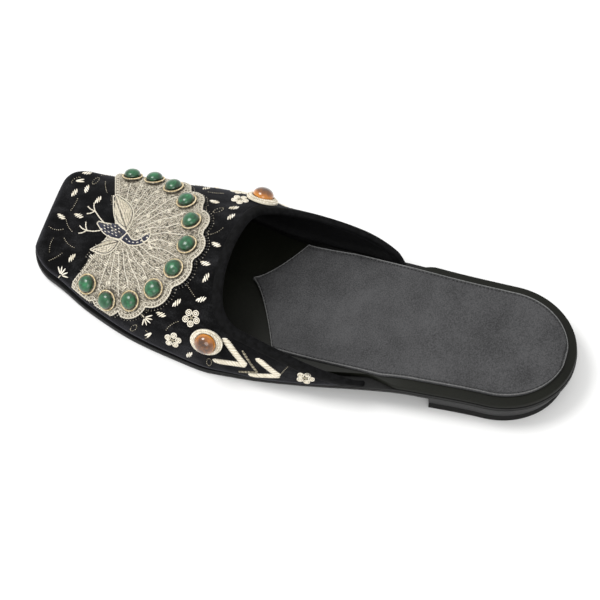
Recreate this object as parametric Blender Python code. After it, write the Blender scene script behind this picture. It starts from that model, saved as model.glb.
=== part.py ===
"""Left-foot mule: low flat, square toe, open throat with two wings, scalloped fan patch set with cabochons.

Metres, +Z up. The toe points to -Y and the lateral side is +X. The origin is on the floor, under the
middle of the shoe's box. Distances along the shoe are measured from the toe tip towards the heel.
"""

from math import asin, cos, pi, radians, sin, sqrt

import bmesh
import bpy
from mathutils import Matrix, Vector

# Driving sizes of the last
LENGTH = 0.250
BALL_WIDTH = 0.0850
TOE_WIDTH = 0.0540
HEEL_WIDTH = 0.0630
TOE_SWING = 0.0145  # how far the toe's middle lies to the medial side of the ball's
TOE_CORNER = 0.0130
HEEL_ROUND = 0.0330  # length over which the back of the heel is rounded
INSTEP_HEIGHT = 0.0390  # ridge of the upper over the feather line, at the throat
TOE_SPRING = 0.0030
HEEL_HEIGHT = 0.0120  # floor to the underside of the heel seat

# Walls, thicknesses and clearances
SOLE_THICKNESS = 0.0030
INSOLE_THICKNESS = 0.0025
PAD_THICKNESS = 0.0012
LIFT_THICKNESS = 0.0040
UPPER_WALL = 0.0020
PATCH_THICKNESS = 0.0012
CLEARANCE = 0.0003
WELT = 0.0008  # how far the sole's edge stands out of the upper at the toe
WAIST_BULGE = 0.0030  # how far the upper stands out over the sole at the waist
TUCK_HEIGHT = 0.0045  # height over the feather line where the upper is widest
TUCK_DEPTH = 0.0018  # how far the feather line is drawn in under that
TOE_WALL = 0.0075  # depth of the slanted wall at the toe front
TOE_SQUARE = 2.4  # how square the toe's profile is
SKIRT = 0.0040  # how far a cutter reaches past the form that it cuts
CUT_DEPTH = 0.0100  # how deep the opening's cutter reaches, or a share of the opening's width if less
CUT_SHARE = 0.4

# Sole profile, as shares of the length
SPRING_END = 0.22
TREAD_END = 0.41
SEAT_START = 0.74
HEEL_BREAST = 0.77

# Heel
HEEL_INSET = 0.0012
HEEL_TAPER = 0.0018

# Insole and heel pad
INSOLE_EASE = 0.0125  # length over which the insole widens behind the wings
PAD_TIP = 0.1005  # from the toe tip
PAD_SHIFT = 0.0080  # how far the tip lies to the medial side
PAD_BRACKET = 0.0195
PAD_LATERAL_GAP = 0.0085
PAD_MEDIAL_GAP = 0.0012
PAD_BACK_GAP = 0.0045
PAD_EASE = 0.0750  # length over which the pad's edges swing out to the sole's
PAD_CURVE = 1.4  # how hollow the bracket's edges are

# Fan patch and cabochons
FAN_MIDDLE = 0.0450  # from the toe tip
FAN_LEAN = 0.14  # how far the fan leans to the lateral side for each metre towards the heel
FAN_FOOT = 0.0340  # where its axis crosses the last's middle
FAN_WIDTH_SHARE = 0.371  # half width of the oval through the stones, as a share of the ball width
FAN_DEPTH = 0.0295
FAN_SPAN = radians(225.0)
FAN_MARGIN = 0.0007  # least distance from the patch to the upper's widest line
FAN_APEX = 0.0370  # deepest point of the patch's lower edge, from the toe tip
STONE_COUNT = 11
STONE_RADIUS = 0.0037
STONE_HEIGHT = 0.0029
BEZEL_RADIUS = 0.0048
BEZEL_HEIGHT = 0.0008
SCALLOP_RADIUS = 0.0077
END_SCALLOP = 1.6  # how much further the first and last scallops run round their stones

# Amber cabochons on the wings
AMBER_RADIUS = 0.0047
AMBER_HEIGHT = 0.0042
AMBER_BASE_LONG = 0.0074
AMBER_BASE_SHORT = 0.0062
AMBER_BASE_HEIGHT = 0.0014
AMBER_LATERAL_AT = 0.0945
AMBER_MEDIAL_AT = 0.0975
AMBER_LATERAL_DROP = 0.51  # height of the middle, as a share of the ridge's height there
AMBER_MEDIAL_DROP = 0.75

# How finely the forms are divided
ARCH_STEPS = 10
UPPER_STATIONS = 26
SOLE_STATIONS = 44
WING_STATIONS = 16
HEEL_STEPS = 12
SCALLOP_STEPS = 6
VAMP_STEPS = 14
DOME_SIDES = 14

# Plan outline of the sole. Half width = toe share of the toe's, ball share of the ball's, rest the heel's.
# middle is the centre line's place as a share of TOE_SWING, bulge the share of WAIST_BULGE.
OUTLINE = [
    {"at": 0.000, "toe": 1.000, "ball": 0.000, "middle": -1.000, "bulge": 0.00},
    {"at": 0.064, "toe": 0.830, "ball": 0.170, "middle": -0.800, "bulge": 0.05},
    {"at": 0.136, "toe": 0.530, "ball": 0.470, "middle": -0.520, "bulge": 0.15},
    {"at": 0.236, "toe": 0.190, "ball": 0.810, "middle": -0.280, "bulge": 0.30},
    {"at": 0.316, "toe": 0.050, "ball": 0.950, "middle": -0.160, "bulge": 0.40},
    {"at": 0.368, "toe": 0.000, "ball": 1.000, "middle": -0.080, "bulge": 0.45},
    {"at": 0.424, "toe": 0.000, "ball": 0.840, "middle": -0.010, "bulge": 0.55},
    {"at": 0.500, "toe": 0.000, "ball": 0.630, "middle": 0.070, "bulge": 0.80},
    {"at": 0.580, "toe": 0.000, "ball": 0.440, "middle": 0.120, "bulge": 0.80},
    {"at": 0.660, "toe": 0.000, "ball": 0.240, "middle": 0.140, "bulge": 0.45},
    {"at": 0.740, "toe": 0.000, "ball": 0.080, "middle": 0.115, "bulge": 0.20},
    {"at": 0.860, "toe": 0.000, "ball": 0.000, "middle": 0.035, "bulge": 0.00},
    {"at": 1.000, "toe": 0.000, "ball": 0.000, "middle": 0.000, "bulge": 0.00},
]

# Ridge of the upper: height over the feather line as a share of INSTEP_HEIGHT, and how square the arch is.
RIDGE = [
    {"at": 0.030, "height": 0.235, "square": 3.0},
    {"at": 0.060, "height": 0.295, "square": 2.9},
    {"at": 0.100, "height": 0.385, "square": 2.7},
    {"at": 0.160, "height": 0.525, "square": 2.5},
    {"at": 0.240, "height": 0.720, "square": 2.4},
    {"at": 0.320, "height": 0.895, "square": 2.3},
    {"at": 0.390, "height": 1.010, "square": 2.2},
    {"at": 0.480, "height": 1.060, "square": 2.1},
    {"at": 0.600, "height": 1.080, "square": 2.0},
    {"at": 0.720, "height": 1.080, "square": 2.0},
]

# Throat: the opening's sides in plan, as shares of half the ball width.
THROAT = [
    {"at": 0.3772, "medial": 0.00, "lateral": 0.30},
    {"at": 0.3800, "medial": 0.12, "lateral": 0.43},
    {"at": 0.3840, "medial": 0.30, "lateral": 0.56},
    {"at": 0.3890, "medial": 0.44, "lateral": 0.65},
    {"at": 0.3960, "medial": 0.53, "lateral": 0.72},
    {"at": 0.4120, "medial": 0.61, "lateral": 0.79},
    {"at": 0.4270, "medial": 0.66, "lateral": 0.82},
]

# Topline of the wings: height over the feather line as a share of INSTEP_HEIGHT.
TOPLINE = [
    {"at": 0.440, "medial": 0.800, "lateral": 0.665},
    {"at": 0.500, "medial": 0.650, "lateral": 0.545},
    {"at": 0.550, "medial": 0.490, "lateral": 0.395},
    {"at": 0.600, "medial": 0.305, "lateral": 0.240},
    {"at": 0.640, "medial": 0.130, "lateral": 0.090},
    {"at": 0.662, "medial": -0.020, "lateral": -0.040},
]

# Sections of a cabochon and of a flat setting: share of the height, share of the radius.
DOME_LAYERS = [
    {"up": 0.00, "out": 0.97},
    {"up": 0.22, "out": 1.00},
    {"up": 0.58, "out": 0.87},
    {"up": 0.87, "out": 0.55},
    {"up": 1.00, "out": 0.14},
]
RIM_LAYERS = [
    {"up": 0.00, "out": 1.00},
    {"up": 0.60, "out": 1.00},
    {"up": 1.00, "out": 0.93},
]

# Colour, roughness and metal of each finish
MATERIALS = {
    "black_leather": ((0.020, 0.019, 0.018), 0.45, 0.0),
    "heel_cover": ((0.012, 0.012, 0.013), 0.60, 0.0),
    "rubber": ((0.015, 0.015, 0.015), 0.80, 0.0),
    "olive_leather": ((0.016, 0.015, 0.011), 0.40, 0.0),
    "grey_leather": ((0.045, 0.045, 0.048), 0.50, 0.0),
    "black_velvet": ((0.008, 0.008, 0.009), 0.95, 0.0),
    "metal_thread": ((0.480, 0.430, 0.350), 0.45, 0.6),
    "gilt_wire": ((0.800, 0.650, 0.400), 0.35, 0.9),
    "green_stone": ((0.014, 0.150, 0.065), 0.15, 0.0),
    "cream_thread": ((0.820, 0.760, 0.640), 0.70, 0.0),
    "amber": ((0.500, 0.160, 0.020), 0.10, 0.0),
}


# Reading the tables

def read_rows(rows, column, at):
    """Value of a column at a share of the length, on a curve that never overshoots its rows."""
    if at <= rows[0]["at"]:
        return rows[0][column]
    if at >= rows[-1]["at"]:
        return rows[-1][column]
    slopes = [(b[column] - a[column]) / (b["at"] - a["at"]) for a, b in zip(rows, rows[1:])]
    tangents = [slopes[0]]
    for before, after in zip(slopes, slopes[1:]):
        same_way = before * after > 0
        tangents.append(2 * before * after / (before + after) if same_way else 0.0)
    tangents.append(slopes[-1])
    for index in range(len(rows) - 1):
        low, high = rows[index], rows[index + 1]
        if low["at"] <= at <= high["at"]:
            step = high["at"] - low["at"]
            u = (at - low["at"]) / step
            value = (1 + 2 * u) * (1 - u) ** 2 * low[column]
            value += u * (1 - u) ** 2 * step * tangents[index]
            value += u * u * (3 - 2 * u) * high[column]
            value += u * u * (u - 1) * step * tangents[index + 1]
            return value


def half_width(along):
    at = along / LENGTH
    toe = read_rows(OUTLINE, "toe", at)
    ball = read_rows(OUTLINE, "ball", at)
    return (toe * TOE_WIDTH + ball * BALL_WIDTH + (1 - toe - ball) * HEEL_WIDTH) / 2


def middle(along):
    return TOE_SWING * read_rows(OUTLINE, "middle", along / LENGTH)


def rounded(along, grow):
    """What the toe's corners and the round heel leave of the half width, at a form grown by grow."""
    corner = max(TOE_CORNER + grow, 0.001)
    from_tip = max(along + grow, 0.0)
    cut = corner - sqrt(max(corner ** 2 - max(corner - from_tip, 0.0) ** 2, 0.0))
    back = HEEL_ROUND + grow
    from_back = max(LENGTH - along + grow, 0.0)
    share = sqrt(max(1 - max(1 - from_back / back, 0.0) ** 2, 0.0))
    return cut, share


def sole_reach(along, grow):
    cut, share = rounded(along, grow)
    return (half_width(along) + grow - cut) * share


def upper_reach(along, grow):
    """Half width of the upper where it is widest: inside the sole's edge at the toe, over it at the waist."""
    bulge = read_rows(OUTLINE, "bulge", along / LENGTH)
    cut, _ = rounded(along, grow)
    return half_width(along) - WELT * (1 - bulge) + WAIST_BULGE * bulge + grow - cut


def sole_bottom(along):
    at = along / LENGTH
    if at < SPRING_END:
        return TOE_SPRING * (1 - max(at, 0.0) / SPRING_END) ** 2
    u = min(max((at - TREAD_END) / (SEAT_START - TREAD_END), 0.0), 1.0)
    return HEEL_HEIGHT * u * u * (3 - 2 * u)


def feather_line(along):
    return sole_bottom(along) + SOLE_THICKNESS + CLEARANCE


def ridge_height(along, grow):
    """Height of the upper's ridge over the feather line, falling to nothing down the toe's slanted wall."""
    height = INSTEP_HEIGHT * read_rows(RIDGE, "height", along / LENGTH) + grow
    depth = TOE_WALL + grow
    from_tip = along - WELT + grow
    if from_tip >= depth:
        return height
    share = max(from_tip / depth, 0.0)
    return height * (1 - (1 - share) ** TOE_SQUARE) ** (1 / TOE_SQUARE)


def squareness(along):
    return read_rows(RIDGE, "square", along / LENGTH)


def place(side, along, up):
    """Point from the distance to the last's line, the distance from the toe tip and the height."""
    return Vector((side, along - LENGTH / 2, up))


def stations(start, end, count):
    return [start + (end - start) * index / count for index in range(count + 1)]


def toe_stations(grow, end, count):
    """Stations from the toe tip, close together over the slanted wall and the corners."""
    tip = WELT - grow
    close = [tip + TOE_CORNER * share for share in (0.02, 0.07, 0.15, 0.27, 0.42, 0.62, 0.85)]
    return close + stations(tip + 1.15 * TOE_CORNER, end, count)


def upper_height(side, along, grow):
    """Height of the upper's outer face over the floor at a plan position."""
    reach = upper_reach(along, grow)
    share = min(abs(side - middle(along)) / reach, 1.0)
    square = squareness(along)
    ridge = ridge_height(along, grow)
    tuck = min(TUCK_HEIGHT, ridge / 2)
    return feather_line(along) + tuck + (ridge - tuck) * (1 - share ** square) ** (1 / square)


def upper_frame(side, along, grow):
    """Point on the upper's face and the axes of a plane on it: towards the lateral side, the heel and out."""
    step = 0.0005
    here = place(side, along, upper_height(side, along, grow))
    across = place(side + step, along, upper_height(side + step, along, grow)) - here
    heelwards = place(side, along + step, upper_height(side, along + step, grow)) - here
    out = across.cross(heelwards).normalized()
    across.normalize()
    return here, across, out.cross(across), out


# Making meshes

def new_object(name, mesh, material, collection):
    thing = bpy.data.objects.new(name, mesh)
    collection.objects.link(thing)
    if material:
        thing.data.materials.append(material)
    return thing


def loft(name, rings):
    """Solid through a list of rings with as many points each, with a flat face on both ends."""
    build = bmesh.new()
    rows = [[build.verts.new(point) for point in ring] for ring in rings]
    count = len(rows[0])
    for low, high in zip(rows, rows[1:]):
        for index in range(count):
            after = (index + 1) % count
            build.faces.new((low[index], low[after], high[after], high[index]))
    build.faces.new(reversed(rows[0]))
    build.faces.new(rows[-1])
    bmesh.ops.remove_doubles(build, verts=build.verts, dist=0.00001)
    bmesh.ops.triangulate(build, faces=build.faces, ngon_method="EAR_CLIP")
    bmesh.ops.recalc_face_normals(build, faces=build.faces)
    mesh = bpy.data.meshes.new(name)
    build.to_mesh(mesh)
    build.free()
    return mesh


def arch(along, grow, skirt):
    """One section of the upper's form, from the medial foot over the ridge to the lateral foot."""
    reach = upper_reach(along, grow)
    ridge = ridge_height(along, grow)
    square = squareness(along)
    tuck = min(TUCK_HEIGHT, ridge / 2)
    drawn_in = min(TUCK_DEPTH, reach / 4) * tuck / TUCK_HEIGHT
    half = [(reach - drawn_in, -skirt)] if skirt else []
    half += [(reach - drawn_in, 0.0), (reach - drawn_in * 0.3, tuck * 0.5)]
    for step in range(ARCH_STEPS):
        angle = pi / 2 * step / ARCH_STEPS
        across = cos(angle) ** (2 / square)
        up = sin(angle) ** (2 / square)
        half.append((reach * across, tuck + (ridge - tuck) * up))
    base = feather_line(along)
    medial = [place(middle(along) - side, along, base + up) for side, up in half]
    top = [place(middle(along), along, base + ridge)]
    lateral = [place(middle(along) + side, along, base + up) for side, up in reversed(half)]
    return medial + top + lateral


def upper_form(name, grow, skirt, end):
    """The last's form grown by grow, with a skirt below the feather line, as far as end."""
    return loft(name, [arch(along, grow, skirt) for along in toe_stations(grow, end, UPPER_STATIONS)])


def slab(name, start, end, reach_of, low_of, high_of, count):
    """Flat piece between two surfaces, with the plan outline that reach_of gives."""
    rings = []
    for along in heel_stations(start, end, count):
        medial, lateral = reach_of(along)
        rings.append([
            place(middle(along) - medial, along, low_of(along)),
            place(middle(along) + lateral, along, low_of(along)),
            place(middle(along) + lateral, along, high_of(along)),
            place(middle(along) - medial, along, high_of(along)),
        ])
    return loft(name, rings)


def heel_stations(start, end, count):
    """Stations that come closer together towards both ends."""
    return [start + (end - start) * (1 - cos(pi * index / count)) / 2 for index in range(count + 1)]


def dome_rings(sides, long_radius, short_radius, height, layers, frame, lift):
    """Rings of a cabochon: an upright rim and a rounded top, on a plane of the upper."""
    here, across, heelwards, out = frame
    rings = []
    for layer in layers:
        ring = []
        share = layer["out"]
        for index in range(sides):
            angle = 2 * pi * index / sides
            flat = across * (cos(angle) * short_radius * share) + heelwards * (sin(angle) * long_radius * share)
            ring.append(here + flat + out * (lift + layer["up"] * height))
        rings.append(ring)
    return rings


def combine(target, other, operation):
    modifier = target.modifiers.new(operation.lower(), "BOOLEAN")
    modifier.operation = operation
    modifier.solver = "EXACT"
    modifier.object = other


def finish_mesh(thing):
    """Applies the modifiers, joins points that coincide and shades round faces smooth."""
    graph = bpy.context.evaluated_depsgraph_get()
    mesh = bpy.data.meshes.new_from_object(thing.evaluated_get(graph))
    thing.modifiers.clear()
    build = bmesh.new()
    build.from_mesh(mesh)
    bmesh.ops.remove_doubles(build, verts=build.verts, dist=0.000002)
    bmesh.ops.dissolve_degenerate(build, edges=build.edges, dist=0.000002)
    bmesh.ops.triangulate(build, faces=build.faces)
    build.to_mesh(mesh)
    build.free()
    mesh.shade_smooth()
    mesh.set_sharp_from_angle(angle=radians(35))
    thing.data = mesh


# The pieces

def make_sole(shoe, finish):
    mesh = slab(
        "outsole", 0.0, LENGTH,
        lambda along: (sole_reach(along, 0), sole_reach(along, 0)),
        sole_bottom, lambda along: sole_bottom(along) + SOLE_THICKNESS, SOLE_STATIONS,
    )
    return new_object("outsole", mesh, finish["black_leather"], shoe)


def insole_reach(along):
    """Inside the upper's wall as far as the wings go, then out to the sole's edge behind them."""
    wing_end = TOPLINE[-1]["at"] * LENGTH
    inside = -(WELT + TUCK_DEPTH + UPPER_WALL + 2 * CLEARANCE)
    blend = min(max((along - wing_end) / INSOLE_EASE, 0.0), 1.0)
    grow = inside * (1 - blend) - CLEARANCE * blend
    reach = sole_reach(along, grow)
    return reach, reach


def insole_top(along):
    return sole_bottom(along) + SOLE_THICKNESS + CLEARANCE + INSOLE_THICKNESS


def make_insole(shoe, finish):
    front = TOE_WALL * 0.5 + UPPER_WALL + WELT
    mesh = slab(
        "insole", front, LENGTH - CLEARANCE, insole_reach,
        lambda along: sole_bottom(along) + SOLE_THICKNESS + CLEARANCE, insole_top, SOLE_STATIONS,
    )
    return new_object("insole", mesh, finish["olive_leather"], shoe)


def make_heel_pad(shoe, finish):
    """Pad with a bracket front: its edges run from the shoulders in hollow curves to a tip."""
    shoulder = PAD_TIP + PAD_BRACKET
    back = LENGTH - PAD_BACK_GAP
    lateral = insole_reach(shoulder)[1] - PAD_LATERAL_GAP
    medial = insole_reach(shoulder)[0] - PAD_MEDIAL_GAP

    def reach(along):
        if along < shoulder:
            share = max((along - PAD_TIP) / PAD_BRACKET, 0.0) ** PAD_CURVE
            tip = PAD_THICKNESS / 2
            return (
                tip + PAD_SHIFT + (medial - PAD_SHIFT) * share,
                tip - PAD_SHIFT + (lateral + PAD_SHIFT) * share,
            )
        ease = min((along - shoulder) / PAD_EASE, 1.0)
        edge = sole_reach(along, -PAD_BACK_GAP)
        kept = sole_reach(along, 0)
        medial_gap = (sole_reach(shoulder, 0) - medial) * (1 - ease)
        lateral_gap = (sole_reach(shoulder, 0) - lateral) * (1 - ease)
        return min(edge, kept - medial_gap), min(edge, kept - lateral_gap)

    mesh = slab(
        "heel_pad", PAD_TIP, back, reach,
        lambda along: insole_top(along) + CLEARANCE,
        lambda along: insole_top(along) + CLEARANCE + PAD_THICKNESS, SOLE_STATIONS,
    )
    return new_object("heel_pad", mesh, finish["grey_leather"], shoe)


def heel_ring(grow, up):
    """Plan ring of the heel at one height: the sole's outline from the breast back."""
    breast = HEEL_BREAST * LENGTH
    medial = []
    lateral = []
    for along in [breast + (LENGTH + grow - breast) * sin(pi / 2 * step / HEEL_STEPS) for step in range(HEEL_STEPS + 1)]:
        reach = max(sole_reach(along, grow), 0.0001)
        medial.append(place(middle(along) - reach, along, up))
        lateral.append(place(middle(along) + reach, along, up))
    return medial + lateral[::-1]


def make_heel(shoe, finish):
    top = HEEL_HEIGHT - CLEARANCE
    low = LIFT_THICKNESS
    block = loft("heel_block", [
        heel_ring(-HEEL_INSET - HEEL_TAPER, low + CLEARANCE),
        heel_ring(-HEEL_INSET, top),
    ])
    lift = loft("heel_top_lift", [
        heel_ring(-HEEL_INSET - HEEL_TAPER, 0.0),
        heel_ring(-HEEL_INSET - HEEL_TAPER, low),
    ])
    new_object("heel_block", block, finish["heel_cover"], shoe)
    new_object("heel_top_lift", lift, finish["rubber"], shoe)


def side_at_height(along, up, sign):
    """Plan position on one side of the upper where its face is at a height over the feather line."""
    ridge = ridge_height(along, 0)
    tuck = min(TUCK_HEIGHT, ridge / 2)
    share = min(max((up - tuck) / (ridge - tuck), 0.0), 1.0)
    square = squareness(along)
    return middle(along) + sign * upper_reach(along, 0) * (1 - share ** square) ** (1 / square)


def opening_edges():
    """The opening's edge on the upper's face: stations with a medial and a lateral point, side and height."""
    half = BALL_WIDTH / 2
    edges = []
    for row in THROAT:
        along = row["at"] * LENGTH
        sides = (middle(along) - row["medial"] * half, middle(along) + row["lateral"] * half)
        edges.append((along, [(side, upper_height(side, along, 0)) for side in sides]))
    wing_end = TOPLINE[-1]["at"] * LENGTH + SKIRT
    for along in stations(TOPLINE[0]["at"] * LENGTH, wing_end, WING_STATIONS):
        pair = []
        for name, sign in (("medial", -1), ("lateral", 1)):
            up = read_rows(TOPLINE, name, along / LENGTH) * INSTEP_HEIGHT
            pair.append((side_at_height(along, up, sign), feather_line(along) + up))
        edges.append((along, pair))
    return edges


def opening_cutter(cutters):
    """Everything inside the opening's edge, with sides that lean out at 45 degrees through it."""
    over = 2 * INSTEP_HEIGHT
    rings = []
    for along, ((medial, medial_up), (lateral, lateral_up)) in opening_edges():
        inward = min(CUT_DEPTH, (lateral - medial) * CUT_SHARE)
        rings.append([
            place(medial - over, along, medial_up + over),
            place(medial + inward, along, medial_up - inward),
            place(lateral - inward, along, lateral_up - inward),
            place(lateral + over, along, lateral_up + over),
        ])
    return new_object("opening_cutter", loft("opening_cutter", rings), None, cutters)


def make_upper(shoe, cutters, finish):
    end = TOPLINE[-1]["at"] * LENGTH
    upper = new_object("upper", upper_form("upper", 0.0, 0.0, end), finish["black_velvet"], shoe)
    inner_mesh = upper_form("upper_inside", -UPPER_WALL, SKIRT, end + SKIRT)
    inner = new_object("upper_inside", inner_mesh, None, cutters)
    combine(upper, inner, "DIFFERENCE")
    combine(upper, opening_cutter(cutters), "DIFFERENCE")
    return upper


def stone_angles():
    """Angle of each stone on the fan's circle, from the medial end round the heel side to the lateral end."""
    first = pi / 2 + FAN_SPAN / 2
    return [first - FAN_SPAN * index / (STONE_COUNT - 1) for index in range(STONE_COUNT)]


def fan_axis(along):
    return middle(along) + FAN_LEAN * (along - FAN_FOOT)


def stone_plan(angle):
    along = FAN_MIDDLE + FAN_DEPTH * sin(angle)
    return fan_axis(along) + FAN_WIDTH_SHARE * BALL_WIDTH * cos(angle), along


def over_vamp(side, along, girth):
    """Plan point reached by going a distance sideways over the upper, kept clear of its widest line."""
    step = girth / VAMP_STEPS
    limit = upper_reach(along, 0) - FAN_MARGIN
    for _ in range(VAMP_STEPS):
        rise = upper_height(side + step, along, 0) - upper_height(side, along, 0)
        side += step * abs(step) / sqrt(step * step + rise * rise) if step else 0.0
    return middle(along) + min(max(side - middle(along), -limit), limit), along


def at_limit(side, along):
    """Whether a plan point is held at the margin from the upper's widest line, where an arc may not turn back."""
    return abs(side - middle(along)) > upper_reach(along, 0) - 1.001 * FAN_MARGIN


def scallop_ring():
    """Plan outline of the fan: an arc round each stone, and a lower edge drawn in to an apex."""
    angles = stone_angles()
    chord = (FAN_WIDTH_SHARE * BALL_WIDTH + FAN_DEPTH) * sin(FAN_SPAN / (STONE_COUNT - 1) / 2)
    open_angle = asin(min(chord / 2 / SCALLOP_RADIUS, 1.0))
    ring = []
    for index, angle in enumerate(angles):
        side, along = stone_plan(angle)
        start = END_SCALLOP * open_angle if index == 0 else open_angle
        stop = END_SCALLOP * open_angle if index == len(angles) - 1 else open_angle
        for step in range(SCALLOP_STEPS + 1):
            turn = angle + start - (start + stop) * step / SCALLOP_STEPS
            ring.append(over_vamp(side, along + SCALLOP_RADIUS * sin(turn), SCALLOP_RADIUS * cos(turn)))
    while at_limit(*ring[-1]) and ring[-1][1] >= ring[-2][1]:
        ring.pop()
    while at_limit(*ring[0]) and ring[0][1] >= ring[1][1]:
        ring.pop(0)
    ring.append((fan_axis(FAN_APEX), FAN_APEX))
    return ring


def make_fan_patch(shoe, cutters, finish):
    """Patch between two larger forms of the upper, cut to the fan's outline."""
    end = FAN_MIDDLE + FAN_DEPTH + 2.5 * SCALLOP_RADIUS
    patch_mesh = upper_form("fan_patch", CLEARANCE + PATCH_THICKNESS, 0.0, end)
    patch = new_object("fan_patch", patch_mesh, finish["metal_thread"], shoe)
    inner_mesh = upper_form("fan_patch_inside", CLEARANCE, SKIRT, end + SKIRT)
    inner = new_object("fan_patch_inside", inner_mesh, None, cutters)
    over_tuck = TOE_SPRING + SOLE_THICKNESS + TUCK_HEIGHT
    outline = loft("fan_outline", [
        [place(side, along, over_tuck) for side, along in scallop_ring()],
        [place(side, along, 2 * INSTEP_HEIGHT) for side, along in scallop_ring()],
    ])
    prism = new_object("fan_outline", outline, None, cutters)
    combine(patch, inner, "DIFFERENCE")
    combine(patch, prism, "INTERSECT")
    return patch


def make_stones(shoe, finish):
    seat = CLEARANCE + PATCH_THICKNESS
    for index, angle in enumerate(stone_angles(), 1):
        side, along = stone_plan(angle)
        frame = upper_frame(side, along, seat)
        lift = CLEARANCE
        rim = dome_rings(DOME_SIDES, BEZEL_RADIUS, BEZEL_RADIUS, BEZEL_HEIGHT, RIM_LAYERS, frame, lift)
        new_object(f"bezel_{index:02d}", loft("bezel", rim), finish["gilt_wire"], shoe)
        lift += BEZEL_HEIGHT + CLEARANCE
        dome = dome_rings(DOME_SIDES, STONE_RADIUS, STONE_RADIUS, STONE_HEIGHT, DOME_LAYERS, frame, lift)
        new_object(f"stone_{index:02d}", loft("stone", dome), finish["green_stone"], shoe)


def make_ambers(shoe, finish):
    for name, along, share, sign in (
        ("lateral", AMBER_LATERAL_AT, AMBER_LATERAL_DROP, 1),
        ("medial", AMBER_MEDIAL_AT, AMBER_MEDIAL_DROP, -1),
    ):
        side = side_at_height(along, share * ridge_height(along, 0), sign)
        frame = upper_frame(side, along, 0)
        lift = CLEARANCE
        base = dome_rings(
            DOME_SIDES, AMBER_BASE_LONG, AMBER_BASE_SHORT, AMBER_BASE_HEIGHT, RIM_LAYERS, frame, lift)
        new_object(f"amber_base_{name}", loft("amber_base", base), finish["cream_thread"], shoe)
        lift += AMBER_BASE_HEIGHT + CLEARANCE
        dome = dome_rings(DOME_SIDES, AMBER_RADIUS, AMBER_RADIUS, AMBER_HEIGHT, DOME_LAYERS, frame, lift)
        new_object(f"amber_{name}", loft("amber", dome), finish["amber"], shoe)


def make_materials():
    finish = {}
    for name, (colour, roughness, metallic) in MATERIALS.items():
        material = bpy.data.materials.new(name)
        material.use_nodes = True
        shader = material.node_tree.nodes["Principled BSDF"]
        shader.inputs["Base Color"].default_value = (*colour, 1.0)
        shader.inputs["Roughness"].default_value = roughness
        shader.inputs["Metallic"].default_value = metallic
        finish[name] = material
    return finish


def make_collection(name):
    collection = bpy.data.collections.new(name)
    bpy.context.scene.collection.children.link(collection)
    return collection


def centre_sideways(things):
    """Moves every piece so that the origin is midway between the shoe's two sides."""
    sides = [vertex.co.x for thing in things for vertex in thing.data.vertices]
    shift = Matrix.Translation((-(min(sides) + max(sides)) / 2, 0, 0))
    for thing in things:
        thing.data.transform(shift)


def main():
    for thing in list(bpy.data.objects):
        bpy.data.objects.remove(thing)
    shoe = make_collection("mule")
    cutters = make_collection("cutters")
    finish = make_materials()
    make_sole(shoe, finish)
    make_insole(shoe, finish)
    make_heel_pad(shoe, finish)
    make_heel(shoe, finish)
    make_upper(shoe, cutters, finish)
    make_fan_patch(shoe, cutters, finish)
    make_stones(shoe, finish)
    make_ambers(shoe, finish)
    for thing in cutters.objects:
        thing.hide_render = True
        thing.display_type = "WIRE"
    for thing in shoe.objects:
        finish_mesh(thing)
    centre_sideways(shoe.objects)


main()
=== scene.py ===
# Left-foot velvet mule: piled velvet, metal-thread fan, cabochons, satin-stitch sprigs, leather footbed
from math import asin, atan2, cos, pi, radians, sin

import bmesh
import bpy
import numpy as np
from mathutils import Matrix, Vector
from mathutils.geometry import delaunay_2d_cdt

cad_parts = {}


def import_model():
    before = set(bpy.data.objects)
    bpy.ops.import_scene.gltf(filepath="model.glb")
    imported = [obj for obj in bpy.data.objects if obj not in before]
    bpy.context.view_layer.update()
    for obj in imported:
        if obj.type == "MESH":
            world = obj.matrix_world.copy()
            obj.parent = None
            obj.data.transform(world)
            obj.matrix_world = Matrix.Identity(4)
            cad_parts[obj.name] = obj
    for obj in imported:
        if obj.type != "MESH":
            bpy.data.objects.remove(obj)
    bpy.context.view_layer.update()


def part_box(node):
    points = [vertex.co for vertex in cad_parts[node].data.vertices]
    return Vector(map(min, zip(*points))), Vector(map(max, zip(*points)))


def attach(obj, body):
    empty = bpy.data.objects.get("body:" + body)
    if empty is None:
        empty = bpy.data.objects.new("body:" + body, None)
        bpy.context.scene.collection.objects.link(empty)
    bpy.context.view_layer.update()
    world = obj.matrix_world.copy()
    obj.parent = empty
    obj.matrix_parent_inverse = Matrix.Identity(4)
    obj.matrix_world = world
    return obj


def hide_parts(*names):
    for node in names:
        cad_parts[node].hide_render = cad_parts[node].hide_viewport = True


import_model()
mm = 0.001
print("frame loaded")

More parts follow.
